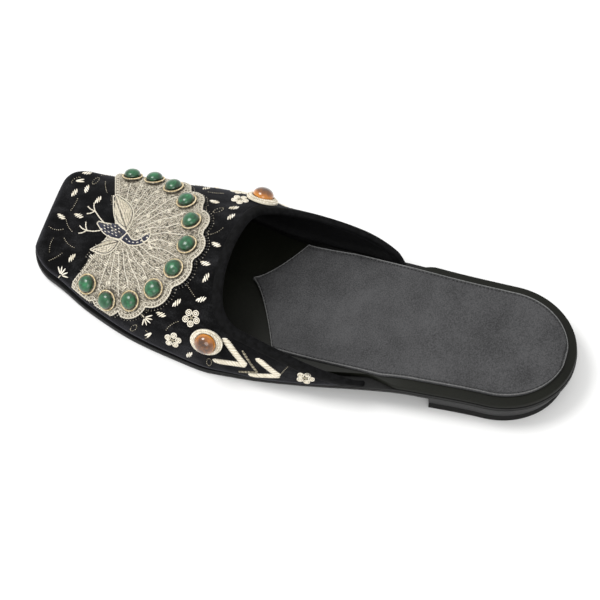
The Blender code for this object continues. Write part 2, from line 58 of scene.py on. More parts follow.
# The last, in mm. Tables hold shares of the length, of the ball width or of the instep height.
last = {
    "length": 250.0, "ballWidth": 85.0, "toeWidth": 54.0, "heelWidth": 63.0,
    "toeSwing": 14.5, "toeCorner": 13.0, "heelRound": 33.0, "instep": 39.0,
    "toeSpring": 3.0, "heelHeight": 12.0, "springEnd": 0.22, "treadEnd": 0.41, "seatStart": 0.74,
    "sole": 3.0, "insole": 2.5, "pad": 1.2, "wall": 2.0, "patch": 1.2, "gap": 0.3,
    "welt": 0.8, "waistBulge": 3.0, "tuckHeight": 4.5, "tuckDepth": 1.8, "toeWall": 7.5, "toeSquare": 2.4,
}
outlineTable = {
    "at": [0.0, 0.064, 0.136, 0.236, 0.316, 0.368, 0.424, 0.5, 0.58, 0.66, 0.74, 0.86, 1.0],
    "toe": [1.0, 0.83, 0.53, 0.19, 0.05, 0, 0, 0, 0, 0, 0, 0, 0],
    "ball": [0, 0.17, 0.47, 0.81, 0.95, 1.0, 0.84, 0.63, 0.44, 0.24, 0.08, 0, 0],
    "middle": [-1.0, -0.8, -0.52, -0.28, -0.16, -0.08, -0.01, 0.07, 0.12, 0.14, 0.115, 0.035, 0],
    "bulge": [0, 0.05, 0.15, 0.3, 0.4, 0.45, 0.55, 0.8, 0.8, 0.45, 0.2, 0, 0],
}
ridgeTable = {
    "at": [0.03, 0.06, 0.1, 0.16, 0.24, 0.32, 0.39, 0.48, 0.6, 0.72],
    "height": [0.235, 0.295, 0.385, 0.525, 0.72, 0.895, 1.01, 1.06, 1.08, 1.08],
    "square": [3.0, 2.9, 2.7, 2.5, 2.4, 2.3, 2.2, 2.1, 2.0, 2.0],
}
throatTable = {
    "at": [0.3772, 0.38, 0.384, 0.389, 0.396, 0.412, 0.427],
    "medial": [0.0, 0.12, 0.3, 0.44, 0.53, 0.61, 0.66],
    "lateral": [0.3, 0.43, 0.56, 0.65, 0.72, 0.79, 0.82],
}
wingTable = {
    "at": [0.44, 0.5, 0.55, 0.6, 0.64, 0.662],
    "medial": [0.8, 0.65, 0.49, 0.305, 0.13, -0.02],
    "lateral": [0.665, 0.545, 0.395, 0.24, 0.09, -0.04],
}
archShare = 0.86  # share of a section's parameter that runs from the ridge to the widest line
length = last["length"]


def readColumn(table, name, at):
    # monotone cubic through the rows
    xs, ys = np.array(table["at"], float), np.array(table[name], float)
    slopes = np.diff(ys) / np.diff(xs)
    before, after = slopes[:-1], slopes[1:]
    sameWay = before * after > 0
    inner = np.where(sameWay, 2 * before * after / np.where(sameWay, before + after, 1), 0)
    tangents = np.concatenate([slopes[:1], inner, slopes[-1:]])
    at = np.clip(at, xs[0], xs[-1])
    i = np.clip(np.searchsorted(xs, at) - 1, 0, len(xs) - 2)
    step = xs[i + 1] - xs[i]
    u = (at - xs[i]) / step
    value = (1 + 2 * u) * (1 - u) ** 2 * ys[i] + u * (1 - u) ** 2 * step * tangents[i]
    return value + u * u * (3 - 2 * u) * ys[i + 1] + u * u * (u - 1) * step * tangents[i + 1]


def smooth(low, high, value):
    t = np.clip((value - low) / (high - low), 0, 1)
    return t * t * (3 - 2 * t)


def halfWidth(along):
    toe = readColumn(outlineTable, "toe", along / length)
    ball = readColumn(outlineTable, "ball", along / length)
    return (toe * last["toeWidth"] + ball * last["ballWidth"] + (1 - toe - ball) * last["heelWidth"]) / 2


def middle(along):
    return last["toeSwing"] * readColumn(outlineTable, "middle", along / length)


def rounded(along, grow):
    corner = last["toeCorner"] + grow
    fromTip = np.maximum(along + grow, 0)
    cut = corner - np.sqrt(np.maximum(corner ** 2 - np.maximum(corner - fromTip, 0) ** 2, 0))
    fromBack = np.maximum(length - along + grow, 0)
    back = last["heelRound"] + grow
    return cut, np.sqrt(np.maximum(1 - np.maximum(1 - fromBack / back, 0) ** 2, 0))


def soleReach(along, grow):
    cut, share = rounded(along, grow)
    return (halfWidth(along) + grow - cut) * share


def upperReach(along, grow):
    bulge = readColumn(outlineTable, "bulge", along / length)
    cut, _ = rounded(along, grow)
    return halfWidth(along) - last["welt"] * (1 - bulge) + last["waistBulge"] * bulge + grow - cut


def soleBottom(along):
    at = np.asarray(along / length, float)
    spring = last["toeSpring"] * np.clip(1 - np.maximum(at, 0) / last["springEnd"], 0, 1) ** 2
    u = np.clip((at - last["treadEnd"]) / (last["seatStart"] - last["treadEnd"]), 0, 1)
    return spring + last["heelHeight"] * u * u * (3 - 2 * u)


def featherLine(along):
    return soleBottom(along) + last["sole"] + last["gap"]


def ridgeHeight(along, grow):
    height = last["instep"] * readColumn(ridgeTable, "height", along / length) + grow
    share = np.clip((along - last["welt"] + grow) / (last["toeWall"] + grow), 0, 1)
    power = last["toeSquare"]
    return height * (1 - (1 - share) ** power) ** (1 / power)


soleStations = np.arange(0, length, 0.5)
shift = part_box("outsole")[0].x / mm - np.min(middle(soleStations) - soleReach(soleStations, 0))


def world(side, along, up):
    side, along, up = np.broadcast_arrays(side, along, up)
    return np.stack([(side + shift) * mm, (along - length / 2) * mm, up * mm], -1)


def section(along, share, grow=0.0):
    # share runs from -1 at the medial foot over 0 at the ridge to 1 at the lateral foot
    reach = upperReach(along, grow)
    ridge = ridgeHeight(along, grow)
    square = readColumn(ridgeTable, "square", along / length)
    tuck = np.minimum(last["tuckHeight"], ridge / 2)
    drawnIn = np.minimum(last["tuckDepth"], reach / 4) * tuck / last["tuckHeight"]
    angle = pi / 2 * (1 - np.clip(np.abs(share) / archShare, 0, 1))
    under = np.clip((np.abs(share) - archShare) / (1 - archShare), 0, 1)
    across = np.cos(angle) ** (2 / square) * reach - drawnIn * under ** 1.6
    up = tuck * (1 - under) + (ridge - tuck) * np.sin(angle) ** (2 / square)
    return middle(along) + np.sign(share) * across, featherLine(along) + up


# Distance from the ridge along each section, so that ornament keeps its size on the slopes
skinStart, skinStep = 1.0, 0.5
skinRows = np.arange(skinStart, 172.0, skinStep)
skinShares = np.linspace(0, 1, 301)
rowSide, rowUp = section(skinRows[:, None], skinShares[None, :])
skinArc = np.hypot(np.diff(rowSide - middle(skinRows)[:, None], axis=1), np.diff(rowUp, axis=1)).cumsum(1)
skinArc = np.concatenate([np.zeros((len(skinRows), 1)), skinArc], 1)
skinTotals = skinArc[:, -1]
arcSteps = 400  # columns of the table that turns a distance over the section back to its share
shareByArc = np.array([np.interp(np.linspace(0, 1, arcSteps + 1), arc / arc[-1], skinShares) for arc in skinArc])


def readGrid(grid, row, column):
    row = np.clip(row, 0, grid.shape[0] - 1.001)
    column = np.clip(column, 0, grid.shape[1] - 1.001)
    i, j = row.astype(int), column.astype(int)
    u, v = row - i, column - j
    near = grid[i, j] * (1 - v) + grid[i, j + 1] * v
    return near * (1 - u) + (grid[i + 1, j] * (1 - v) + grid[i + 1, j + 1] * v) * u


def shareOf(w, along):
    w, along = np.broadcast_arrays(np.asarray(w, float), np.asarray(along, float))
    part = np.abs(w) / np.interp(along, skinRows, skinTotals)
    return readGrid(shareByArc, (along - skinStart) / skinStep, part * arcSteps) * np.sign(w)


def skin(w, along, lift=0.0):
    # world point at w mm from the ridge, along mm from the toe tip, lift mm out of the velvet
    side, up = section(along, shareOf(w, along), lift)
    return world(side, along, up)


def skinFrame(w, along, lift=0.0):
    w, along = np.asarray(w, float), np.asarray(along, float)
    here = skin(w, along, lift)
    across = skin(w + 0.3, along, lift) - here
    heelwards = skin(w, along + 0.3, lift) - here
    out = np.cross(across, heelwards)
    out /= np.linalg.norm(out, axis=-1, keepdims=True)
    return here, out


def shareAtSide(side, along):
    across = np.clip(np.abs(side - middle(along)) / upperReach(along, 0), 0, 1)
    square = readColumn(ridgeTable, "square", along / length)
    return np.sign(side - middle(along)) * archShare * (1 - np.arccos(across ** (square / 2)) / (pi / 2))


def shareAtHeight(up, along):
    ridge = ridgeHeight(along, 0)
    tuck = np.minimum(last["tuckHeight"], ridge / 2)
    square = readColumn(ridgeTable, "square", along / length)
    part = np.clip((up - tuck) / (ridge - tuck), 0, 1)
    onArch = archShare * (1 - np.arcsin(part ** (square / 2)) / (pi / 2))
    return np.where(up < tuck, archShare + (1 - archShare) * np.clip(1 - up / tuck, 0, 1), onArch)


def arcAt(share, along):
    share, along = np.broadcast_arrays(np.asarray(share, float), np.asarray(along, float))
    column = np.abs(share) * (len(skinShares) - 1)
    return readGrid(skinArc, (along - skinStart) / skinStep, column) * np.sign(share)


def arcOf(side, along):
    return arcAt(shareAtSide(side, along), along)


# Materials

def hexColour(code):
    channels = [int(code[i:i + 2], 16) / 255 for i in (0, 2, 4)]
    linear = [c / 12.92 if c <= 0.04045 else ((c + 0.055) / 1.055) ** 2.4 for c in channels]
    return (*linear, 1.0)


def addNode(tree, kind, links=None, values=None, **settings):
    node = tree.nodes.new(kind)
    for name, value in settings.items():
        setattr(node, name, value)
    for socket, value in (values or {}).items():
        node.inputs[socket].default_value = value
    for socket, source in (links or {}).items():
        tree.links.new(source, node.inputs[socket])
    return node


def newMaterial(name, **values):
    material = bpy.data.materials.new(name)
    material.use_nodes = True
    tree = material.node_tree
    shader = tree.nodes["Principled BSDF"]
    for socket, value in values.items():
        shader.inputs[socket.replace("_", " ")].default_value = value
    return material, tree, shader


def addRamp(tree, source, stops):
    ramp = addNode(tree, "ShaderNodeValToRGB", {"Fac": source})
    while len(ramp.color_ramp.elements) < len(stops):
        ramp.color_ramp.elements.new(0.5)
    for element, (place, code) in zip(ramp.color_ramp.elements, stops):
        element.position = place
        element.color = hexColour(code)
    return ramp.outputs["Color"]


def addBump(tree, shader, height, strength, depth):
    bump = addNode(tree, "ShaderNodeBump", {"Height": height}, {"Strength": strength, "Distance": depth * mm})
    tree.links.new(bump.outputs["Normal"], shader.inputs["Normal"])


def addNoise(tree, coords, size, detail=2.0, **values):
    # size is the width of one patch of the noise, in mm
    values = {"Scale": 1 / (size * mm), "Detail": detail, **values}
    node = addNode(tree, "ShaderNodeTexNoise", {"Vector": coords}, values)
    return node.outputs["Fac"]


def addMath(tree, operation, first, second):
    node = addNode(tree, "ShaderNodeMath", operation=operation)
    for slot, value in enumerate((first, second)):
        if isinstance(value, (int, float)):
            node.inputs[slot].default_value = value
        else:
            tree.links.new(value, node.inputs[slot])
    return node.outputs[0]


def objectCoords(tree):
    return addNode(tree, "ShaderNodeTexCoord").outputs["Object"]


def readAttribute(tree, name):
    return addNode(tree, "ShaderNodeAttribute", attribute_name=name).outputs["Fac"]


def mixColours(tree, share, first, second):
    node = addNode(tree, "ShaderNodeMix", {0: share, 6: first, 7: second}, data_type="RGBA")
    return node.outputs[2]


def velvetMaterial():
    # cut-pile cotton velvet: near black face on, streaked nap, and a painted sheen that colours the toe's lowest band a
    # lighter grey
    material, tree, shader = newMaterial(
        "cut pile velvet", Roughness=1.0, Sheen_Weight=0.3, Sheen_Roughness=0.45,
        Sheen_Tint=hexColour("8f8f98"), Specular_IOR_Level=0.05)
    coords = objectCoords(tree)
    stretched = addNode(tree, "ShaderNodeMapping", {"Vector": coords}, {"Scale": (1.0, 0.3, 1.0)}).outputs[0]
    nap = addNoise(tree, stretched, 3.2, 5.0)  # streaks of leaning pile, about 3 mm wide
    crush = addNoise(tree, coords, 9.0, 2.0)  # places where the pile was pressed, about 9 mm wide
    pile = addNoise(tree, coords, 0.5, 2.0)  # tufts, drawn coarser than the real 0.1 mm so that they show
    soft = addMath(tree, "MULTIPLY", addMath(tree, "ADD", nap, crush), 0.35)
    both = addMath(tree, "ADD", soft, addMath(tree, "MULTIPLY", pile, 0.3))
    face = addRamp(tree, both, [(0.36, "030303"), (0.5, "0b0b0b"), (0.62, "202021"), (0.72, "343437")])
    # lighter grey ramp for the painted sheen on the toe's lowest band, mixed in where the wall attribute is set
    edge = addRamp(tree, both, [(0.35, "121213"), (0.65, "26262a")])
    tree.links.new(mixColours(tree, readAttribute(tree, "wall"), face, edge), shader.inputs["Base Color"])
    addBump(tree, shader, pile, 0.7, 0.3)
    return material


def bindingMaterial():
    # velvet folded over the edge and pressed flat, so its pile lies down and shines a little
    material, tree, shader = newMaterial(
        "pressed velvet binding", Roughness=0.75, Sheen_Weight=0.06, Sheen_Roughness=0.4,
        Sheen_Tint=hexColour("77777f"), Specular_IOR_Level=0.08)
    coords = objectCoords(tree)
    streak = addNoise(tree, coords, 1.8, 4.0)
    tree.links.new(addRamp(tree, streak, [(0.35, "040404"), (0.65, "0f0f10")]), shader.inputs["Base Color"])
    addBump(tree, shader, addNoise(tree, coords, 0.5), 0.35, 0.15)
    return material


def leatherMaterial(name, dark, light, roughness, specular, cell, bump):
    # leather: closed grain cells with creases between them, uneven dye and a slightly uneven gloss
    material, tree, shader = newMaterial(name, Specular_IOR_Level=specular)
    coords = objectCoords(tree)
    clouds = addNoise(tree, coords, 16.0, 3.0)
    speck = addNoise(tree, coords, cell * 0.8, 4.0)
    both = addMath(tree, "ADD", addMath(tree, "MULTIPLY", clouds, 0.35), addMath(tree, "MULTIPLY", speck, 0.65))
    tree.links.new(addRamp(tree, both, [(0.38, dark), (0.62, light)]), shader.inputs["Base Color"])
    cells = addNode(
        tree, "ShaderNodeTexVoronoi", {"Vector": coords}, {"Scale": 1 / (cell * mm)}, feature="DISTANCE_TO_EDGE")
    crease = addNode(tree, "ShaderNodeMapRange", {"Value": cells.outputs["Distance"]}, {"From Max": 0.25}).outputs[0]
    grain = addMath(tree, "ADD", crease, addMath(tree, "MULTIPLY", speck, 0.8))
    rough = addNode(
        tree, "ShaderNodeMapRange", {"Value": speck}, {"To Min": roughness - 0.1, "To Max": roughness + 0.1})
    tree.links.new(rough.outputs[0], shader.inputs["Roughness"])
    addBump(tree, shader, grain, bump, 0.1)
    return material


def threadMaterial(name, stops, roughness, metallic=0.0, specular=0.5, sheen=0.0):
    # thread: each stitch has its own tone, with fine plies across it
    material, tree, shader = newMaterial(
        name, Roughness=roughness, Metallic=metallic, Specular_IOR_Level=specular, Sheen_Weight=sheen)
    ply = addNoise(tree, objectCoords(tree), 0.4, 2.0)  # plies, drawn at 0.4 mm
    shade = addMath(tree, "MULTIPLY", addMath(tree, "SUBTRACT", ply, 0.5), 0.5)
    both = addMath(tree, "ADD", readAttribute(tree, "tone"), shade)
    tree.links.new(addRamp(tree, both, stops), shader.inputs["Base Color"])
    addBump(tree, shader, ply, 0.6, 0.12)
    return material


def fanClothMaterial():
    # the fan's woven ground: champagne metal thread knotted a millimetre apart, darker towards the dips between the
    # knots, partly the dark ground in the gaps and partly painted shade
    material, tree, shader = newMaterial("champagne metal weave", Roughness=0.5, Metallic=0.2)
    coords = objectCoords(tree)
    knots = addNode(tree, "ShaderNodeTexVoronoi", {"Vector": coords}, {"Scale": 1 / (1.0 * mm)}).outputs["Distance"]
    fibre = addNoise(tree, coords, 0.4, 3.0)
    both = addMath(tree, "ADD", knots, addMath(tree, "MULTIPLY", fibre, 0.4))
    # the ramp darkens with the same distance that sinks the bump, so the dips between knots get painted shade
    stops = [(0.25, "b5ad9d"), (0.55, "8c8576"), (0.85, "4d483e")]
    tree.links.new(addRamp(tree, both, stops), shader.inputs["Base Color"])
    addBump(tree, shader, both, -0.8, 0.2)
    return material


def greenStoneMaterial():
    # dyed aventurine, polished: mottled green with darker veins under a glassy face; the dome's top is painted lighter
    # as a painted highlight and its rim darker as painted shade
    material, tree, shader = newMaterial(
        "polished aventurine", Roughness=0.3, Specular_IOR_Level=0.35, Coat_Weight=0.7, Coat_Roughness=0.16)
    coords = objectCoords(tree)
    mottle = addNoise(tree, coords, 2.2, 5.0, Distortion=0.8)
    # crown is the dome's height: a quarter of the colour comes from it, a painted highlight on the top and painted
    # shade at the rim
    crown = readAttribute(tree, "crown")
    both = addMath(tree, "ADD", addMath(tree, "MULTIPLY", mottle, 0.75), addMath(tree, "MULTIPLY", crown, 0.25))
    stops = [(0.3, "021b0b"), (0.45, "08371d"), (0.6, "104f2c"), (0.78, "277548")]
    tree.links.new(addRamp(tree, both, stops), shader.inputs["Base Color"])
    return material


def amberMaterial():
    # pressed amber, with painted light: the dome's top is painted to a dark heart and its rim to an orange glow where
    # light gathers
    material, tree, shader = newMaterial(
        "pressed amber", Roughness=0.15, Specular_IOR_Level=0.5, Coat_Weight=0.8, Coat_Roughness=0.06)
    coords = objectCoords(tree)
    cloud = addNoise(tree, coords, 3.0, 3.0, Distortion=1.0)
    shade = addMath(tree, "MULTIPLY", addMath(tree, "SUBTRACT", cloud, 0.5), 0.9)
    # crown is the dome's height: low values give the painted rim glow, high values the painted dark heart
    both = addMath(tree, "ADD", readAttribute(tree, "crown"), shade)
    stops = [(0.0, "7a430a"), (0.2, "c47c14"), (0.45, "a96410"), (0.75, "70400c"), (1.0, "40240c")]
    tree.links.new(addRamp(tree, both, stops), shader.inputs["Base Color"])
    return material


def rubberMaterial():
    # moulded rubber, dull, with a faint moulding texture
    material, tree, shader = newMaterial("moulded rubber", Roughness=0.8, Specular_IOR_Level=0.2)
    speck = addNoise(tree, objectCoords(tree), 0.7, 3.0)
    tree.links.new(addRamp(tree, speck, [(0.3, "0b0b0b"), (0.7, "181817")]), shader.inputs["Base Color"])
    addBump(tree, shader, speck, 0.4, 0.1)
    return material


finish = {
    "velvet": velvetMaterial(),
    "binding": bindingMaterial(),
    "lining": leatherMaterial("kid lining", "0a0a0a", "131314", 0.55, 0.15, 0.8, 0.25),
    "insole": leatherMaterial("smooth insole leather", "0c0d08", "151610", 0.5, 0.15, 0.7, 0.15),
    "pad": leatherMaterial("grained sock leather", "262627", "454546", 0.58, 0.3, 0.7, 0.55),
    # pad rim: lighter than the pad, a painted highlight on the pad's bevel
    "padRimPaintedHighlight": leatherMaterial("pad rim painted highlight", "4a4a4a", "6e6e6d", 0.4, 0.35, 0.7, 0.2),
    "sole": leatherMaterial("dyed sole leather", "0a0a0a", "151514", 0.45, 0.2, 1.2, 0.12),
    "heel": leatherMaterial("covered heel leather", "080809", "131314", 0.42, 0.2, 0.9, 0.15),
    "rubber": rubberMaterial(),
    "cream": threadMaterial(
        "cream satin stitch", [(0.0, "5d5645"), (0.3, "a39a82"), (0.6, "d6cdb8"), (1.0, "f0eadc")],
        0.45, 0.0, 0.5, 0.2),
    "silver": threadMaterial(
        "couched metal thread", [(0.0, "3a362e"), (0.25, "7d7667"), (0.55, "b9b19f"), (1.0, "ebe5d6")], 0.42, 0.25),
    "gilt": threadMaterial("gilt wire", [(0.0, "8a744b"), (0.5, "dcc79a"), (1.0, "fff3d6")], 0.35, 0.45),
    "navy": threadMaterial(
        "navy satin stitch", [(0.0, "0c0d18"), (0.5, "1b1e33"), (1.0, "343a5c")], 0.45, 0.0, 0.4, 0.2),
    "black": threadMaterial("black bead fringe", [(0.0, "030303"), (0.5, "0a0a0b"), (1.0, "2c2c2e")], 0.3),
    "fanCloth": fanClothMaterial(),
    "green": greenStoneMaterial(),
    "amber": amberMaterial(),
}
print("materials made")


# Meshes

def setValues(mesh, name, values):
    # stores a number, or a vector, on every point
    values = np.asarray(values, np.float32)
    kind, field = ("FLOAT_VECTOR", "vector") if values.ndim == 2 else ("FLOAT", "value")
    mesh.attributes.new(name, kind, "POINT").data.foreach_set(field, values.ravel())


def addPiece(name, points, faces, material, stoodFor=()):
    mesh = bpy.data.meshes.new(name)
    mesh.from_pydata([tuple(p) for p in points], [], [tuple(f) for f in faces])
    thing = bpy.data.objects.new(name, mesh)
    bpy.context.scene.collection.objects.link(thing)
    mesh.materials.append(material)
    mesh.shade_smooth()
    settle(thing, stoodFor)
    return thing


def settle(thing, stoodFor):
    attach(thing, "root")
    if stoodFor:
        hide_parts(*stoodFor)


def gridFaces(rows, columns, start=0, flip=False):
    low = (np.arange(rows - 1)[:, None] * columns + np.arange(columns - 1)[None, :] + start).ravel()
    faces = np.stack([low, low + 1, low + columns + 1, low + columns], 1)
    return faces[:, ::-1] if flip else faces


def resample(points, count):
    points = np.asarray(points, float)
    run = np.concatenate([[0], np.linalg.norm(np.diff(points, axis=0), axis=1).cumsum()])
    at = np.linspace(0, run[-1], count)
    return np.stack([np.interp(at, run, points[:, i]) for i in range(points.shape[1])], 1)


def relax(points, rounds):
    points = np.array(points, float)
    for _ in range(rounds):
        points[1:-1] = points[1:-1] / 2 + (points[:-2] + points[2:]) / 4
    return points


# Upper: velvet outside, kid lining inside, one closed shell that runs from the toe to the collar's edge

upperMake = {"columns": 281, "rows": 120, "toeCrowding": 1.7, "edgeSmoothing": 60}


def collarLine(count):
    # (w, along) from the medial wing's tip round the throat to the lateral wing's tip
    at = np.array(throatTable["at"])
    half = last["ballWidth"] / 2
    medial = arcOf(middle(at * length) - np.array(throatTable["medial"]) * half, at * length)
    lateral = arcOf(middle(at * length) + np.array(throatTable["lateral"]) * half, at * length)
    wings = {}
    for name in ("medial", "lateral"):
        fine = np.linspace(wingTable["at"][0], wingTable["at"][-1], 200)
        up = readColumn(wingTable, name, fine) * last["instep"]
        tip = np.interp(0, -up, fine)
        wingAt = np.linspace(wingTable["at"][0], tip, 24)
        up = readColumn(wingTable, name, wingAt) * last["instep"]
        wings[name] = np.stack([arcAt(shareAtHeight(up, wingAt * length), wingAt * length), wingAt * length], 1)
    points = np.concatenate([
        wings["medial"][::-1] * [-1, 1],
        np.stack([medial, at * length], 1)[::-1],
        np.stack([lateral, at * length], 1),
        wings["lateral"],
    ])
    return resample(relax(resample(points, 500), upperMake["edgeSmoothing"]), count)


def makeUpper():
    columns, rows = upperMake["columns"], upperMake["rows"]
    collar = collarLine(columns)
    share = shareOf(collar[:, 0], collar[:, 1])
    share[0], share[-1] = -1.0, 1.0
    part = np.linspace(0, 1, rows)[:, None] ** upperMake["toeCrowding"]
    shells = []
    for grow in (0.0, -last["wall"]):
        tip = last["welt"] - grow
        along = tip + (collar[None, :, 1] - tip) * part
        side, up = section(along, np.broadcast_to(share, along.shape), grow)
        shells.append((world(side, along, up).reshape(-1, 3), along, up))
    count = rows * columns
    points = np.concatenate([shells[0][0], shells[1][0]])
    faces = [gridFaces(rows, columns), gridFaces(rows, columns, count, True)]
    borders = [
        np.arange(columns), np.arange(rows) * columns + columns - 1,
        np.arange(columns)[::-1] + (rows - 1) * columns, np.arange(rows)[::-1] * columns,
    ]
    for border in borders:
        low, high = border[:-1], border[1:]
        faces.append(np.stack([high, low, low + count, high + count], 1))
    faces = np.concatenate(faces)
    thing = addPiece("velvetUpper", points, faces, finish["velvet"], ["upper"])
    thing.data.materials.append(finish["lining"])
    index = np.zeros(len(faces), np.int32)
    index[len(gridFaces(rows, columns)):] = 1
    thing.data.polygons.foreach_set("material_index", index)
    _, along, up = shells[0]
    # wall holds the painted sheen on the toe's lowest band: full up to 3.2 mm over the feather line, gone by 6 mm,
    # fading out between 55 and 105 mm from the tip
    wall = smooth(6.0, 3.2, up - featherLine(along)) * smooth(105, 55, along)
    setValues(thing.data, "wall", np.concatenate([wall.ravel(), np.zeros(count)]))
    return collar


collar = makeUpper()
print("upper made")


# Binding: a folded strip over the collar's edge, outside and in

bindingMake = {
    "outside": [(3.9, 0.02), (3.8, 0.26), (3.1, 0.42), (1.6, 0.5), (0.4, 0.46), (-0.25, 0.1), (-0.5, -0.6)],
    "inside": [(-0.5, -1.5), (-0.2, -2.2), (0.5, -2.45), (2.4, -2.45), (3.4, -2.3), (3.6, -2.05)],
}


def makeBinding():
    run = np.gradient(collar, axis=0)
    run /= np.linalg.norm(run, axis=1, keepdims=True)
    inward = np.stack([run[:, 1], -run[:, 0]], 1)
    profile = bindingMake["outside"] + bindingMake["inside"]
    rings = []
    for distance, lift in profile:
        place = collar + inward * distance
        rings.append(skin(place[:, 0], place[:, 1], lift))
    points = np.stack(rings, 1)  # one ring per collar point
    count, size = points.shape[:2]
    wrapped = np.concatenate([np.arange(size), [0]])
    faces = []
    for i in range(count - 1):
        for a, b in zip(wrapped, wrapped[1:]):
            faces.append((i * size + a, i * size + b, (i + 1) * size + b, (i + 1) * size + a))
    faces.append(tuple(range(size))[::-1])
    faces.append(tuple((count - 1) * size + i for i in range(size)))
    addPiece("collarBinding", points.reshape(-1, 3), faces, finish["binding"])


makeBinding()
print("binding made")


# Sole, insole, pad and heel: rings of the plan outline, each with its own inset and level

def footSlab(name, profile, base, reach, material, stoodFor, start, end, count=150, breast=False):
    # profile is a list of inset and level in mm, from the underside to the top
    points = []
    turn = np.linspace(0, 1, count)
    spread = np.sin(turn * pi / 2) if breast else (1 - np.cos(pi * turn)) / 2
    for inset, level in profile:
        first = start if breast else start + inset
        along = first + (end - inset - first) * spread
        medial, lateral = reach(along, inset)
        height = base(along) + level
        ring = np.concatenate([
            world(middle(along) - medial, along, height),
            world(middle(along) + lateral, along, height)[::-1],
        ])
        points.append(ring)
    size = 2 * count
    faces = []
    for layer in range(len(profile) - 1):
        for i in range(size):
            j = (i + 1) % size
            faces.append((layer * size + j, layer * size + i, (layer + 1) * size + i, (layer + 1) * size + j))
    top = (len(profile) - 1) * size
    for i in range(count - 1):
        faces.append((i, i + 1, size - 2 - i, size - 1 - i))
        faces.append((top + size - 1 - i, top + size - 2 - i, top + i + 1, top + i))
    tidyMesh(addPiece(name, np.concatenate(points), faces, material, stoodFor).data)


def tidyMesh(mesh):
    # merges the points that close a rounded end and keeps crisp edges crisp
    work = bmesh.new()
    work.from_mesh(mesh)
    bmesh.ops.remove_doubles(work, verts=work.verts, dist=0.00002)
    bmesh.ops.dissolve_degenerate(work, edges=work.edges, dist=0.00001)
    bmesh.ops.recalc_face_normals(work, faces=work.faces)
    work.to_mesh(mesh)
    work.free()
    mesh.shade_smooth()
    mesh.set_sharp_from_angle(angle=radians(soleMake["crease"]))


soleMake = {
    "edge": [
        (1.0, 0.0), (0.25, 0.15), (0.0, 0.55), (0.0, 1.7), (0.3, 1.85), (0.3, 2.05), (0.0, 2.2), (0.0, 2.75),
        (0.3, 3.0)],
    "insoleEdge": [(0.3, 0.0), (0.0, 0.3), (0.0, 1.7), (0.25, 2.25), (0.8, 2.5)],
    "padEdge": [(0.0, 0.0), (0.0, 0.7), (0.15, 0.98), (0.5, 1.14), (0.95, 1.2), (1.25, 1.02), (1.6, 1.2), (2.4, 1.2)],
    "insoleFront": 6.55, "insoleEase": 12.5, "crease": 38,
}
padMake = {
    "tip": 100.5, "shift": 8.0, "bracket": 19.5, "lateralGap": 8.5, "medialGap": 1.2, "backGap": 4.5,
    "ease": 75.0, "curve": 1.4, "stitchInset": 1.15, "stitchPitch": 1.75, "stitchLength": 1.25,
}
heelMake = {"inset": 1.2, "taper": 1.8, "lift": 4.0, "breast": 0.77}


def evenReach(along, inset):
    reach = soleReach(along, -inset)
    return reach, reach


def insoleReach(along, inset):
    wingEnd = wingTable["at"][-1] * length
    inside = last["welt"] + last["tuckDepth"] + last["wall"] + 2 * last["gap"]
    blend = np.clip((along - wingEnd) / soleMake["insoleEase"], 0, 1)
    reach = soleReach(along, -last["gap"] * blend - inside * (1 - blend) - inset)
    return reach, reach


def insoleTop(along):
    return featherLine(along) + last["insole"]


def padReach(along, inset):
    shoulder = padMake["tip"] + padMake["bracket"]
    at = np.array([shoulder])
    lateral = insoleReach(at, 0)[1][0] - padMake["lateralGap"]
    medial = insoleReach(at, 0)[0][0] - padMake["medialGap"]
    share = np.clip((along - padMake["tip"]) / padMake["bracket"], 0, 1) ** padMake["curve"]
    tip = last["pad"] / 2
    ease = np.clip((along - shoulder) / padMake["ease"], 0, 1)
    edge = soleReach(along, -padMake["backGap"])
    kept = soleReach(along, 0)
    whole = soleReach(at, 0)[0]
    front = (tip + padMake["shift"] + (medial - padMake["shift"]) * share,
             tip - padMake["shift"] + (lateral + padMake["shift"]) * share)
    back = (np.minimum(edge, kept - (whole - medial) * (1 - ease)),
            np.minimum(edge, kept - (whole - lateral) * (1 - ease)))
    return [np.where(along < shoulder, f, b) - inset * 1.1 for f, b in zip(front, back)]


def makeFoot():
    footSlab(
        "soleLeather", soleMake["edge"], soleBottom, evenReach,
        finish["sole"], ["outsole"], 0, length)
    footSlab(
        "insoleCover", soleMake["insoleEdge"], featherLine, insoleReach,
        finish["insole"], ["insole"], soleMake["insoleFront"], length - last["gap"])
    footSlab(
        "sockPad", soleMake["padEdge"], lambda a: insoleTop(a) + last["gap"], padReach,
        finish["pad"], ["heel_pad"], padMake["tip"], length - padMake["backGap"], 220)
    breast = heelMake["breast"] * length
    low = heelMake["inset"] + heelMake["taper"]
    lift = heelMake["lift"]
    top = last["heelHeight"] - last["gap"]
    foot = lift + last["gap"]
    cover = [(low, foot)]
    cover += [(heelMake["inset"] + heelMake["taper"] * (1 - s) ** 1.3, foot + (top - foot) * s)
              for s in (0.03, 0.2, 0.45, 0.7, 0.97)]
    cover.append((heelMake["inset"] + 0.2, top))
    flat = [(low + 0.5, 0.0), (low + 0.1, 0.2), (low, 0.6), (low, lift - 0.35), (low + 0.15, lift)]
    for name, profile, material, slot, node in (
        ("heelCover", cover, finish["heel"], "heel_cover", "heel_block"),
        ("heelLift", flat, finish["rubber"], "rubber", "heel_top_lift")):
        footSlab(name, profile, np.zeros_like, evenReach, material, [node], breast, length, 60, True)


makeFoot()
print("sole, insole, pad and heel made")


# Geometry Nodes: one stitch at each guide point, and one polished stone at each seat

